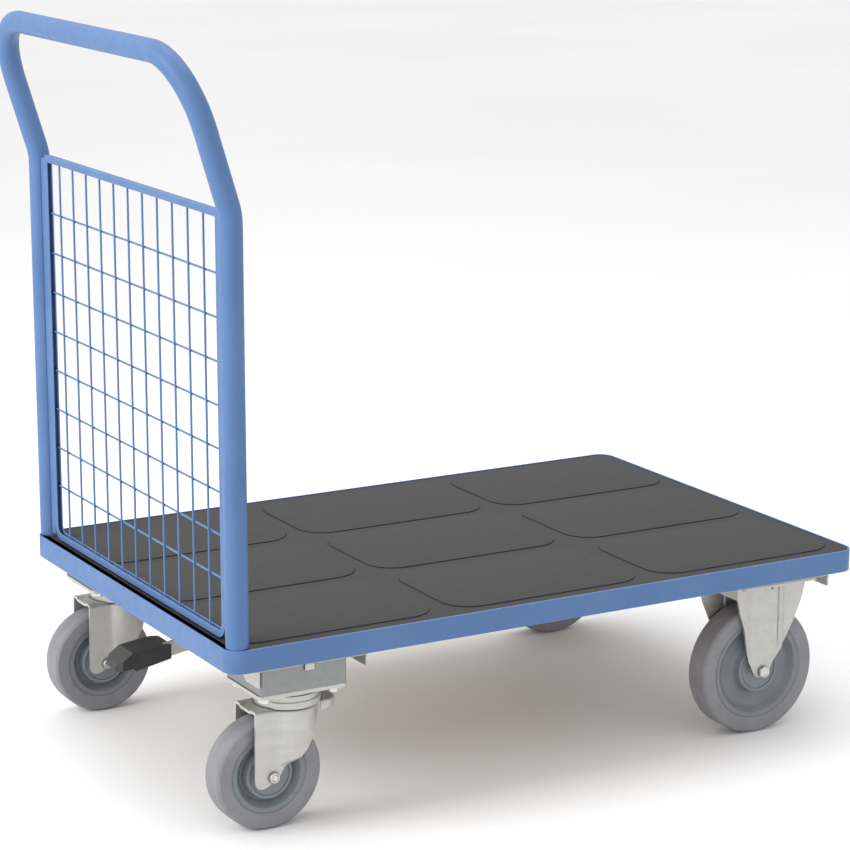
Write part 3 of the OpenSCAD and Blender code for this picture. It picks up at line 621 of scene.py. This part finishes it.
def sheet_parts():
    """Rounds the edges of the folded and flat sheet parts that come straight from CAD."""
    soften("deck_rim", EDGE["rim"] * MM)
    for node in ("cross_member_rear", "cross_member_front"):
        soften(node, EDGE["sheet"] * MM)
    for side in SIDES:
        soften(f"brake_box_{side}", EDGE["sheet"] * MM)
    for node in ("mesh_frame", "mesh_strips", "corner_plates", "pedal_lever", "deck_rails"):
        soften(node, EDGE["small"] * MM)
    soften("foot_pad", 1.6 * MM, angle=12.0, segments=3)


# ---------- Handle and mesh ----------

CORNER_BEND_R = 100.0
KINK_BEND_R = 100.0
KINK_BELOW_FRAME_TOP = 2.0


def handle():
    """The bent tube as one swept curve: post, kink, lean, corner, push bar and back down."""
    kink_steps, corner_steps = 12, 24
    lo, hi = box_mm("handle_tube")
    bar_x, bar_z = lo.x + TUBE_R, hi.z - TUBE_R
    kink_z = box_mm("mesh_frame")[1].z - KINK_BELOW_FRAME_TOP
    lean = math.atan2(POST_X - bar_x, bar_z - kink_z)
    start = kink_z - KINK_BEND_R * math.tan(lean / 2)
    half = [Vector((POST_X, POST_Y, lo.z))]
    for k in range(kink_steps + 1):
        turn = lean * k / kink_steps
        x = POST_X - KINK_BEND_R * (1 - math.cos(turn))
        half.append(Vector((x, POST_Y, start + KINK_BEND_R * math.sin(turn))))
    along = Vector((-math.sin(lean), 0, math.cos(lean)))
    corner = Vector((bar_x, POST_Y - CORNER_BEND_R, bar_z)) - along * CORNER_BEND_R
    for k in range(corner_steps + 1):
        turn = math.pi / 2 * k / corner_steps
        outer = corner + Vector((0, CORNER_BEND_R * math.cos(turn), 0))
        half.append(outer + along * CORNER_BEND_R * math.sin(turn))
    path = half + [Vector((p.x, -p.y, p.z)) for p in reversed(half)]
    tube("handle", path, TUBE_R, 12, "deck", "blue_paint", "handle_tube")


def weld_points():
    """The small flattened nuggets where each upright wire is welded to a level one."""
    wire_r, pitch_y, pitch_z, thickness = 1.5, 50.0, 60.0, 0.75
    lowest = box_mm("mesh_wires_level")[0].z + wire_r
    bm = bmesh.new()
    for i in range(-5, 6):
        for k in range(8):
            place = Vector((POST_X, i * pitch_y, lowest + k * pitch_z))
            flat = Matrix.Translation(place) @ Matrix.Diagonal((thickness, wire_r, wire_r, 1.0))
            bmesh.ops.create_icosphere(bm, subdivisions=2, radius=1.0, matrix=flat)
    piece("weld_points", finished(bm, "weld_points"), "deck", "blue_paint")


# ---------- Wheels ----------


def mirrored(half):
    """A closed outline of (radius, along, fillet) from its half on the positive side."""
    return half + [(x, -y, radius) for x, y, radius in reversed(half)]


TYRE_DEPTH, BEARING_W, RIM_T = 24.0, 12.0, 7.0


def wheel(kind, side):
    """Tyre, hub and thread guards of one wheel, turned about its axle."""
    body = f"{kind}_wheel_{side}"
    place = middle_mm(f"{kind}_tyre_{side}")
    lo, hi = box_mm(f"{kind}_tyre_{side}")
    outer, half_w = (hi.z - lo.z) / 2, (hi.y - lo.y) / 2
    seat = outer - TYRE_DEPTH
    tyre = mirrored([
        (seat, half_w - 3.0, 0.3), (seat + 1.2, half_w - 1.6, 0.5), (seat + 4.0, half_w - 0.6, 3.0),
        (outer - 4.0, half_w, 3.0), (outer - 0.3, half_w - 3.8, 3.5), (outer - 0.3, 0.5, 0.0),
        (outer, 0.2, 0.0),
    ])
    mesh = turned("tyre", rounded(tyre), place, 160)
    piece(f"tyre_{kind}_{side}", mesh, body, "tyre_rubber", f"{kind}_tyre_{side}")
    hub_lo, hub_hi = box_mm(f"{kind}_hub_{side}")
    face = (hub_hi.y - hub_lo.y) / 2
    bearing = face - BEARING_W
    rim_in = seat - RIM_T
    hub = mirrored([
        (16.0, bearing, 0.0), (20.0, bearing, 0.0), (20.0, face, 0.3), (30.2, face, 0.0),
        (30.4, face + 1.6, 0.5), (34.6, face + 1.4, 1.6), (37.0, 6.0, 7.0), (rim_in - 9.0, 6.0, 9.0),
        (rim_in, face - 1.2, 1.6), (seat - 0.8, face, 0.6), (seat, face - 1.0, 0.0),
    ])
    mesh = turned("hub", rounded(hub, 7), place, 128)
    piece(f"hub_{kind}_{side}", mesh, body, "hub_plastic", f"{kind}_hub_{side}")
    bm = bmesh.new()
    for s in (-1, 1):
        guard = [
            (10.0, face, 0.0), (10.0, face + 2.0, 0.3), (14.5, face + 2.0, 0.6),
            (16.0, face + 1.0, 0.6), (26.6, face + 1.2, 0.8), (28.6, face + 0.9, 0.6),
            (28.8, face, 0.0),
        ]
        add_turned(bm, rounded([(x, s * y, r) for x, y, r in guard], 3), place, 96)
    piece(
        f"guards_{kind}_{side}", finished(bm, "guards"), body, "hub_plastic", f"{kind}_guards_{side}"
    )


# ---------- Forks, pressed from sheet ----------

SHEET_T = 4.0
CHEEK_Y = 33.5
AXLE_HOLE_R = 5.1


def along_line(points, at):
    """The value at a place on a line of (place, value) points."""
    for (p, v), (q, w) in zip(points, points[1:]):
        if at <= q:
            return v + (w - v) * (at - p) / (q - p)
    return points[-1][1]


def eased(points, at, reach):
    """along_line with its corners eased over reach."""
    return sum(along_line(points, at + d) for d in (-reach, 0.0, reach)) / 3


def smooth_step(low, high, value):
    """0 below low, 1 above high and smooth between them."""
    t = min(1.0, max(0.0, (value - low) / (high - low)))
    return t * t * (3 - 2 * t)


def sheet_grid(bm, rows):
    """An open sheet through rows of points, a quad between each four neighbours."""
    made = [[bm.verts.new(point) for point in row] for row in rows]
    for one, two in zip(made, made[1:]):
        for j in range(len(one) - 1):
            bm.faces.new((one[j], one[j + 1], two[j + 1], two[j]))


def thickened(bm, outwards):
    """The open sheet in bm made SHEET_T thick; outwards(middle, normal) is true on its outer side."""
    bmesh.ops.remove_doubles(bm, verts=bm.verts, dist=0.01)
    bm.normal_update()
    wrong = [f for f in bm.faces if not outwards(f.calc_center_median(), f.normal)]
    bmesh.ops.reverse_faces(bm, faces=wrong)
    mesh = bpy.data.meshes.new("sheet")
    bm.to_mesh(mesh)
    bm.free()
    obj = add_object("sheet", mesh)
    solid = obj.modifiers.new("solid", "SOLIDIFY")
    solid.thickness = SHEET_T
    solid.offset = -1.0
    solid.use_even_offset = False
    result = applied(obj)
    bpy.data.objects.remove(obj)
    return result


def ease_edges(obj):
    """Rounds the cut edges of a sheet-metal piece."""
    bevel = obj.modifiers.new("bevel", "BEVEL")
    bevel.width = 0.5 * MM
    bevel.segments = 2
    bevel.limit_method = "ANGLE"
    bevel.angle_limit = math.radians(50)
    bevel.harden_normals = True


# Each edge of a cheek is a line of (height above the floor, distance ahead of the axis or axle)
SWIVEL_BACK = [
    (65.0, -54.6), (65.6, -58.0), (67.6, -62.0), (71.0, -64.9), (77.0, -66.4), (177.0, -64.0),
]
SWIVEL_FRONT = [
    (65.0, -54.0), (66.5, -48.5), (76.0, -30.5), (95.0, -19.5), (98.0, -8.0), (101.0, -2.0),
    (116.0, 13.0), (130.0, 22.0), (155.0, 30.0), (177.0, 36.0),
]
# The bell round the swivel axis, the fold between cheek and crown, and the swivel head.
# The bell starts at BELL_FOOT under the axis, higher towards the front, and is full at BELL_FULL.
BELL_R = 44.0
BELL_FOOT, BELL_FOOT_SLOPE, BELL_FULL = 101.8, 0.2, 165.0
FOLD_R = 6.0
RACE_IN, RACE_OUT, RACE_H = 30.0, 47.0, 9.85
BALL_RING_R, GROOVE_R, BALLS_ABOVE_RACE = 38.0, 4.1, 0.15
KINGPIN_HOLE_R = 10.1
LIP_X, LIP_R, LIP_T, LIP_H = 45.0, 26.0, 3.0, 13.9


def bell_y(x, z):
    """Half-width of the swivel fork at x, z: flat at the back and swelling round the swivel axis."""
    rise = math.sqrt(max(0.0, BELL_R**2 - x * x)) - CHEEK_Y
    swell = (rise + math.hypot(rise, 2.0)) / 2
    if x > 0:
        swell = rise + 0.1 * max(0.0, 1 - x / 20)
    if swell < 0:
        return CHEEK_Y + swell
    foot = BELL_FOOT + BELL_FOOT_SLOPE * x
    start = smooth_step(foot - 3.5, foot + 3.5, z)
    return CHEEK_Y + swell * start * (0.6 + 0.4 * smooth_step(foot, BELL_FULL, z))


def across(back, front, columns):
    """Evenly spaced distances from a cheek's back edge to its front edge."""
    return [back + (front - back) * j / (columns - 1) for j in range(columns)]


def cheek_rows(fold_z):
    """Rows of points up one cheek, from its tip to the fold."""
    columns, upper_rows, tip_end = 26, 50, 72.0
    rise = (fold_z - tip_end) / upper_rows
    levels = [65.3, 66.0, 67.0, 68.5, 70.0] + [tip_end + k * rise for k in range(upper_rows + 1)]
    rows = []
    for z in levels:
        xs = across(eased(SWIVEL_BACK, z, 0.3), eased(SWIVEL_FRONT, z, 1.5), columns)
        rows.append([Vector((x, bell_y(x, z), z)) for x in xs])
    return rows


def fold_rows(rim):
    """Rows of points round the fold, inwards from the cheek's upper rim."""
    last = len(rim) - 1
    inward = []
    for j in range(len(rim)):
        run = rim[min(j + 1, last)] - rim[max(j - 1, 0)]
        inward.append(Vector((run.y, -run.x, 0)).normalized())
    steps = 5
    rows = []
    for k in range(1, steps + 1):
        turn = math.pi / 2 * k / steps
        shift, lift = FOLD_R * (1 - math.cos(turn)), FOLD_R * math.sin(turn)
        rows.append([p + n * shift + Vector((0, 0, lift)) for p, n in zip(rim, inward)])
    return rows


def crown_rows(edge, crown_top):
    """Rows of points over the crown to its middle, with the sunk bead at the back edge."""
    steps, bead_depth = 14, 2.4
    rows = []
    for k in range(1, steps + 1):
        row = []
        for p in edge:
            ahead = p.x if p.x < 0 else p.x * BELL_R / edge[-1].x
            point = p.lerp(Vector((ahead, 0, p.z)), k / steps)
            bead = 1 - smooth_step(14.0, 19.0, abs(point.y))
            bead *= 1 - smooth_step(-57.0, -49.0, point.x)
            row.append(Vector((point.x, point.y, crown_top - bead_depth * bead)))
        rows.append(row)
    return rows


def swivel_half(crown_top):
    """Rows of points on one half of the fork, from the tip up the cheek and in over the crown."""
    rows = cheek_rows(crown_top - FOLD_R)
    rows += fold_rows(rows[-1])
    return rows + crown_rows(rows[-1], crown_top)


def add_lower_race(bm, origin, crown_top):
    """The lower race on the crown, with the groove that its balls run in."""
    top = crown_top + RACE_H
    steps = 12
    arc = [math.radians(4 + 172 * k / steps) for k in range(steps + 1)]
    groove = [
        (BALL_RING_R + GROOVE_R * math.cos(a), top + BALLS_ABOVE_RACE - GROOVE_R * math.sin(a), 0.0)
        for a in arc
    ]
    foot = crown_top - 0.1
    race = [(RACE_IN, foot, 0.0), (RACE_OUT, foot, 0.6), (RACE_OUT, top, 0.9)]
    race += groove + [(RACE_IN, top, 0.5)]
    add_turned(bm, rounded(race, 3), origin, 96, "Z")


def add_front_lip(bm, origin, crown_top):
    """The turned-down round lip ahead of the crown, a hair below its upper face."""
    top = crown_top - 0.05
    inner = LIP_R - LIP_T
    lip = [
        (2.0, top, 0.0), (LIP_R, top, 4.5), (LIP_R, top - LIP_H, 0.8),
        (inner, top - LIP_H, 0.8), (inner, top - LIP_T, 2.0), (2.0, top - LIP_T, 0.0),
    ]
    add_turned(bm, rounded(lip, 4), origin + Vector((LIP_X, 0, 0)), 40, "Z", -100.0, 200.0)


def swivel_fork(side):
    """The swivel fork: a folded and drawn sheet with the lower race and a rounded front lip."""
    axis = middle_mm(f"swivel_plate_{side}")
    crown_top = box_mm(f"swivel_fork_{side}")[1].z - RACE_H
    axle_place = middle_mm(f"swivel_tyre_{side}")
    origin = Vector((axis.x, axis.y, 0))
    bm = bmesh.new()
    half = swivel_half(crown_top)
    for sign in (-1, 1):
        sheet_grid(bm, [[origin + Vector((p.x, sign * p.y, p.z)) for p in row] for row in half])

    def outwards(place, normal):
        """Whether a face's normal leads away from the bell's axis, or up from the crown."""
        away = place - origin
        lead = Vector((max(away.x, 0.0), away.y, 0)).normalized()
        if place.z > crown_top - FOLD_R:
            lead += Vector((0, 0, 1))
        return normal.dot(lead) > 0

    cutter = bmesh.new()
    add_rod(cutter, upright(axis.x, axis.y, crown_top), KINGPIN_HOLE_R, -20.0, 20.0)
    add_rod(cutter, crosswise(*axle_place, 1), AXLE_HOLE_R, -60.0, 60.0)
    mesh = cut(thickened(bm, outwards), cutter)
    bm = bmesh.new()
    bm.from_mesh(mesh)
    add_lower_race(bm, origin, crown_top)
    add_front_lip(bm, origin, crown_top)
    name = f"fork_swivel_{side}"
    ease_edges(piece(name, finished(bm, name), f"swivel_{side}", "zinc_steel", f"swivel_fork_{side}"))


FIXED_BACK = [
    (91.0, -3.0), (91.6, -8.0), (94.0, -12.5), (99.0, -17.0), (117.0, -25.0), (137.0, -28.0),
    (170.0, -33.0), (195.0, -42.0), (234.0, -49.0), (242.0, -50.0),
]
FIXED_FRONT = [
    (91.0, 0.0), (91.6, 4.0), (95.0, 8.5), (114.0, 18.0), (141.0, 40.0), (172.0, 57.0),
    (203.0, 69.0), (234.0, 76.0), (242.0, 77.0),
]


# The leg's relief: the panel's back and front step, the groove in it and the flare ahead of it
PANEL_BACK, PANEL_FRONT, EDGE_SET_BACK = (-27.0, -22.0), (33.5, 38.5), 3.8
GROOVE_BACK, GROOVE_FRONT, GROOVE_FOOT, GROOVE_DEPTH = (24.0, 27.0), (27.0, 30.0), (125.0, 150.0), 2.2
FLARE_AHEAD, FLARE_UP, FLARE = (44.0, 78.0), (150.0, 235.0), 3.0

# The plate, its bolt holes, and the small gauge hole near the top of each leg
PLATE_L, PLATE_W, PLATE_R = 135.0, 110.0, 8.0
HOLE_L, HOLE_W, HOLE_R, SINK_R = 105.0, 80.0, 5.2, 9.7
GAUGE_HOLE_R, GAUGE_HOLE_X, GAUGE_HOLE_DOWN = 2.5, 13.0, 12.0
MEMBER_GAP_X, MEMBER_GAP_Z = 4.0, 1.0


def leg_y(x, z):
    """Outer face of a fixed leg: a proud panel with a groove in it and edges set back."""
    edge = (1 - smooth_step(*PANEL_BACK, x)) + smooth_step(*PANEL_FRONT, x)
    groove = smooth_step(*GROOVE_BACK, x) * (1 - smooth_step(*GROOVE_FRONT, x))
    groove *= smooth_step(*GROOVE_FOOT, z)
    flare = smooth_step(*FLARE_AHEAD, x) * smooth_step(*FLARE_UP, z)
    return CHEEK_Y - EDGE_SET_BACK * edge - GROOVE_DEPTH * groove + FLARE * flare


def fixed_leg(notch_z, notch_x):
    """Rows of points on one leg; above notch_z its front edge stays behind notch_x."""
    columns, lower_rows, upper_rows = 110, 40, 5
    tip_end, top, gap = 98.0, 239.0, 0.05
    rise = notch_z - gap - tip_end
    levels = [91.4, 92.0, 93.0, 94.5, 96.0]
    levels += [tip_end + k * rise / lower_rows for k in range(lower_rows + 1)]
    levels += [notch_z + gap + k * (top - notch_z) / upper_rows for k in range(upper_rows + 1)]
    rows = []
    for z in levels:
        back, front = eased(FIXED_BACK, z, 0.4), eased(FIXED_FRONT, z, 0.4)
        if z > notch_z:
            front = min(front, notch_x)
        rows.append([Vector((x, -leg_y(x, z), z)) for x in across(back, front, columns)])
    return rows


def fixed_plate_x():
    """The middle of the fixed castors' plates; their front edge is the forks' foremost part."""
    return box_mm("fixed_fork_right")[1].x - PLATE_L / 2


def plate_holes(middle):
    """The places of the four holes of a castor plate."""
    half_l, half_w = HOLE_L / 2, HOLE_W / 2
    return [(middle.x + i * half_l, middle.y + j * half_w) for i in (-1, 1) for j in (-1, 1)]


def fixed_fork(side):
    """The fixed fork: two legs of the same pressing, one turned half round, below their plate."""
    axle_place = middle_mm(f"fixed_tyre_{side}")
    origin = Vector((axle_place.x, axle_place.y, 0))
    top = box_mm(f"fixed_fork_{side}")[1].z
    member = box_mm("cross_member_front")[0]
    beyond_leg = 100.0
    bm = bmesh.new()
    for turn, notch_x in ((0.0, beyond_leg), (math.pi, origin.x - member.x - MEMBER_GAP_X)):
        half_round = Matrix.Rotation(turn, 3, "Z")
        rows = fixed_leg(member.z - MEMBER_GAP_Z, notch_x)
        sheet_grid(bm, [[origin + half_round @ p for p in row] for row in rows])

    def outwards(place, normal):
        """Whether a face's normal leads away from the wheel."""
        return normal.y * (place.y - origin.y) > 0

    cutter = bmesh.new()
    add_rod(cutter, crosswise(*axle_place, 1), AXLE_HOLE_R, -60.0, 60.0)
    for turn in (0.0, math.pi):
        at = Vector((GAUGE_HOLE_X, -CHEEK_Y, top - GAUGE_HOLE_DOWN))
        hole = origin + Matrix.Rotation(turn, 3, "Z") @ at
        add_rod(cutter, crosswise(*hole, 1), GAUGE_HOLE_R, -8.0, 8.0)
    legs = cut(thickened(bm, outwards), cutter)
    plate, sinks = bmesh.new(), bmesh.new()
    middle = Vector((fixed_plate_x(), origin.y, 0))
    under = top - SHEET_T
    past = 0.2
    sink = [(SINK_R + past, -past), (SINK_R, 0.0), (HOLE_R, SHEET_T), (HOLE_R, SHEET_T + past)]
    add_slab(plate, middle, PLATE_L, PLATE_W, PLATE_R, under, top, EDGE["sheet"], EDGE["sheet"])
    for at in plate_holes(middle):
        add_levels(sinks, upright(*at, under), sink)
    bm = bmesh.new()
    bm.from_mesh(legs)
    bm.from_mesh(cut(finished(plate, "plate"), sinks))
    name = f"fork_fixed_{side}"
    ease_edges(piece(name, finished(bm, name), "deck", "zinc_steel", f"fixed_fork_{side}"))


# ---------- Fasteners in place ----------

BOLT_D, BOLT_AF, BOLT_HEAD_H, SOCKET_AF = 10.0, 17.0, 6.3, 6.0
NUT_H, NUT_BORE_R, PAST_NUT = 8.0, 4.95, 2.0
SWIVEL_PLATE_T = 5.0


def add_sunk_screw(bm, frame_matrix, head_h, length, threaded):
    """A countersunk screw with a hexagon socket, its head's face at local z = 0."""
    shank, socket, run_out = BOLT_D / 2, None, length - threaded
    levels = [
        (socket, 2.6), (socket, 0.0), (9.3, 0.0), (9.5, 0.2), (shank, head_h),
        (shank, run_out), (shank - 0.4, run_out + 0.4),
    ]
    rings = []
    for radius, z in levels:
        ring = []
        for i in range(ROUND_STEPS):
            angle = 2 * math.pi * i / ROUND_STEPS
            reach = radius or hex_radius(angle, SOCKET_AF)
            ring.append(frame_matrix @ Vector((reach * math.cos(angle), reach * math.sin(angle), z)))
        rings.append(ring)
    add_stack(bm, rings)
    add_thread(bm, frame_matrix, BOLT_D, length - threaded - 0.5, length, COARSE_PITCH)


def castor_fasteners():
    """Hexagon bolts through the swivel castors and sunk screws through the fixed ones, with nuts."""
    bolts, nuts = bmesh.new(), bmesh.new()
    seat = box_mm("deck_rim")[0].z
    past = NUT_H + PAST_NUT
    for side in SIDES:
        middle = middle_mm(f"swivel_plate_{side}")
        under = box_mm(f"swivel_plate_{side}")[1].z - SWIVEL_PLATE_T
        for at in plate_holes(middle):
            down = upright(*at, seat, up=False)
            add_bolt(bolts, down, BOLT_D, seat - under + past, BOLT_AF, BOLT_HEAD_H, 14.0)
            add_hexagon(nuts, upright(*at, under - NUT_H), BOLT_AF, NUT_H, NUT_BORE_R)
        under = box_mm(f"fixed_fork_{side}")[1].z - SHEET_T
        for at in plate_holes(Vector((fixed_plate_x(), middle.y, 0))):
            add_sunk_screw(bolts, upright(*at, under), SHEET_T, seat + past - under, past)
            add_hexagon(nuts, upright(*at, seat), BOLT_AF, NUT_H, NUT_BORE_R)
    piece("plate_bolts", finished(bolts, "plate_bolts"), "deck", "bright_steel", "castor_bolts")
    piece("plate_nuts", finished(nuts, "plate_nuts"), "deck", "bright_steel", "castor_nuts")


def rail_fasteners():
    """The twelve rail screws."""
    bm = bmesh.new()
    lo, hi = box_mm("rail_screws")
    head_h, across_flats, pair_x, pitch_y = 4.0, 10.0, 90.0, 190.0
    corner = across_flats / 2 / math.cos(math.pi / 6)
    web = lo.z + head_h
    for x in (lo.x + corner, hi.x - corner - pair_x):
        for i in (-1, 0, 1):
            for k in (0, 1):
                place = upright(x + k * pair_x, i * pitch_y, web)
                add_bolt(bm, place, 6.0, hi.z - web, across_flats, head_h, 10.0, 1.0)
    piece("rail_screws_show", finished(bm, "rail_screws"), "deck", "bright_steel", "rail_screws")


def add_axle(bm, place, head_side):
    """One axle bolt with its hexagon head on head_side and a round collar nut on the other."""
    diameter, across_flats, head_h, nut_h, threaded = 10.0, 16.0, 6.0, 6.0, 12.0
    local = crosswise(place.x, place.y + head_side * CHEEK_Y, place.z, -head_side)
    add_bolt(bm, local, diameter, 2 * CHEEK_Y + nut_h, across_flats, head_h, threaded)
    collar = [(4.9, 0.0, 0.0), (7.6, 0.0, 0.0), (7.6, 4.8, 1.0), (6.6, 5.6, 0.4), (5.2, 5.6, 0.3)]
    outline = rounded([(r, -head_side * (CHEEK_Y + y), c) for r, y, c in collar], 4)
    add_turned(bm, outline, place, 64)


def axles():
    """The four axle bolts: the swivel ones from the left side, the fixed ones from the right."""
    fixed = bmesh.new()
    for side in SIDES:
        bm = bmesh.new()
        add_axle(bm, middle_mm(f"swivel_tyre_{side}"), 1)
        name = f"swivel_axle_{side}"
        piece(f"bolt_{name}", finished(bm, name), f"swivel_{side}", "bright_steel", name)
        add_axle(fixed, middle_mm(f"fixed_tyre_{side}"), -1)
    piece("bolt_fixed_axles", finished(fixed, "axles"), "deck", "bright_steel", "fixed_axles")


def torsion_spring():
    """The pedal's return spring, wound round the shaft."""
    wire, turns, steps_a_turn = 2.4, 8, 24
    lo, hi = box_mm("return_spring")
    centre = (lo + hi) / 2
    coil_r = (hi.z - lo.z) / 2 - wire / 2
    length = hi.y - lo.y - wire
    steps = turns * steps_a_turn
    path = []
    for k in range(steps + 1):
        angle = 2 * math.pi * turns * k / steps
        y = centre.y - length / 2 + length * k / steps
        x, z = centre.x + coil_r * math.cos(angle), centre.z + coil_r * math.sin(angle)
        path.append(Vector((x, y, z)))
    tube("torsion_spring", path, wire / 2, 4, "brake", "bright_steel", "return_spring")


deck_mat()
sheet_parts()
handle()
weld_points()
for wheel_kind in ("swivel", "fixed"):
    for wheel_side in SIDES:
        wheel(wheel_kind, wheel_side)
for fork_side in SIDES:
    swivel_fork(fork_side)
    fixed_fork(fork_side)
castor_fasteners()
rail_fasteners()
axles()
torsion_spring()


# ---------- Floor, light and camera ----------


def floor():
    """A wide pale floor."""
    size = 30.0
    mesh = bpy.data.meshes.new("floor")
    corners = [(-size, -size, 0), (size, -size, 0), (size, size, 0), (-size, size, 0)]
    mesh.from_pydata(corners, [], [(0, 1, 2, 3)])
    finish = Finish("floor", Metallic=0.0, Specular_IOR_Level=0.2)
    cloudy = finish.spread(finish.noise(0.6), 0.0, 1.0)
    shade = finish.blend(cloudy, (0.88, 0.88, 0.88), (0.91, 0.91, 0.91))
    mesh.materials.append(
        finish.paint(Base_Color=shade, Roughness=finish.spread(finish.noise(3.0), 0.6, 0.7))
    )
    add_object("floor", mesh)


def area_light(name, place, target, size, power):
    """A round lamp at place that faces target, with its size in metres and its power in watts."""
    data = bpy.data.lights.new(name, "AREA")
    data.shape = "DISK"
    data.size = size
    data.energy = power
    obj = add_object(name, data)
    obj.location = place
    obj.rotation_euler = (Vector(target) - Vector(place)).to_track_quat("-Z", "Y").to_euler()


def studio():
    """Pale surroundings, brighter at the handle end, with a large key lamp there and one above."""
    world = bpy.data.worlds.new("studio")
    world.use_nodes = True
    tree = world.node_tree
    background = tree.nodes["Background"]
    place = tree.nodes.new("ShaderNodeTexCoord")
    split = tree.nodes.new("ShaderNodeSeparateXYZ")
    ramp = tree.nodes.new("ShaderNodeMapRange")
    for socket, value in (("From Min", -1.0), ("From Max", 1.0), ("To Min", 1.25), ("To Max", 0.75)):
        ramp.inputs[socket].default_value = value
    tree.links.new(place.outputs["Generated"], split.inputs[0])
    tree.links.new(split.outputs["X"], ramp.inputs["Value"])
    tree.links.new(ramp.outputs["Result"], background.inputs["Strength"])
    background.inputs["Color"].default_value = (1.0, 1.0, 1.0, 1.0)
    bpy.context.scene.world = world
    bpy.context.scene.view_settings.view_transform = "Standard"
    area_light("key", (-3.4, 0.2, 2.2), (0.0, 0.0, 0.4), 2.0, 66.0)
    area_light("top", (0.4, 0.6, 3.6), (0.0, 0.0, 0.3), 3.0, 45.0)


def camera():
    """A long lens from the handle end's right side, looking along the deck and a little down."""
    heading = math.radians(29.34)
    tilt = math.radians(13.29)
    data = bpy.data.cameras.new("camera")
    data.sensor_width = 36.0
    data.lens = 120.8
    data.clip_end = 100.0
    obj = add_object("camera", data)
    obj.location = (-2.0556, -3.6592, 1.4547)
    look = Vector(
        (math.sin(heading) * math.cos(tilt), math.cos(heading) * math.cos(tilt), -math.sin(tilt))
    )
    obj.rotation_euler = look.to_track_quat("-Z", "Y").to_euler()
    bpy.context.scene.camera = obj


floor()
studio()
camera()
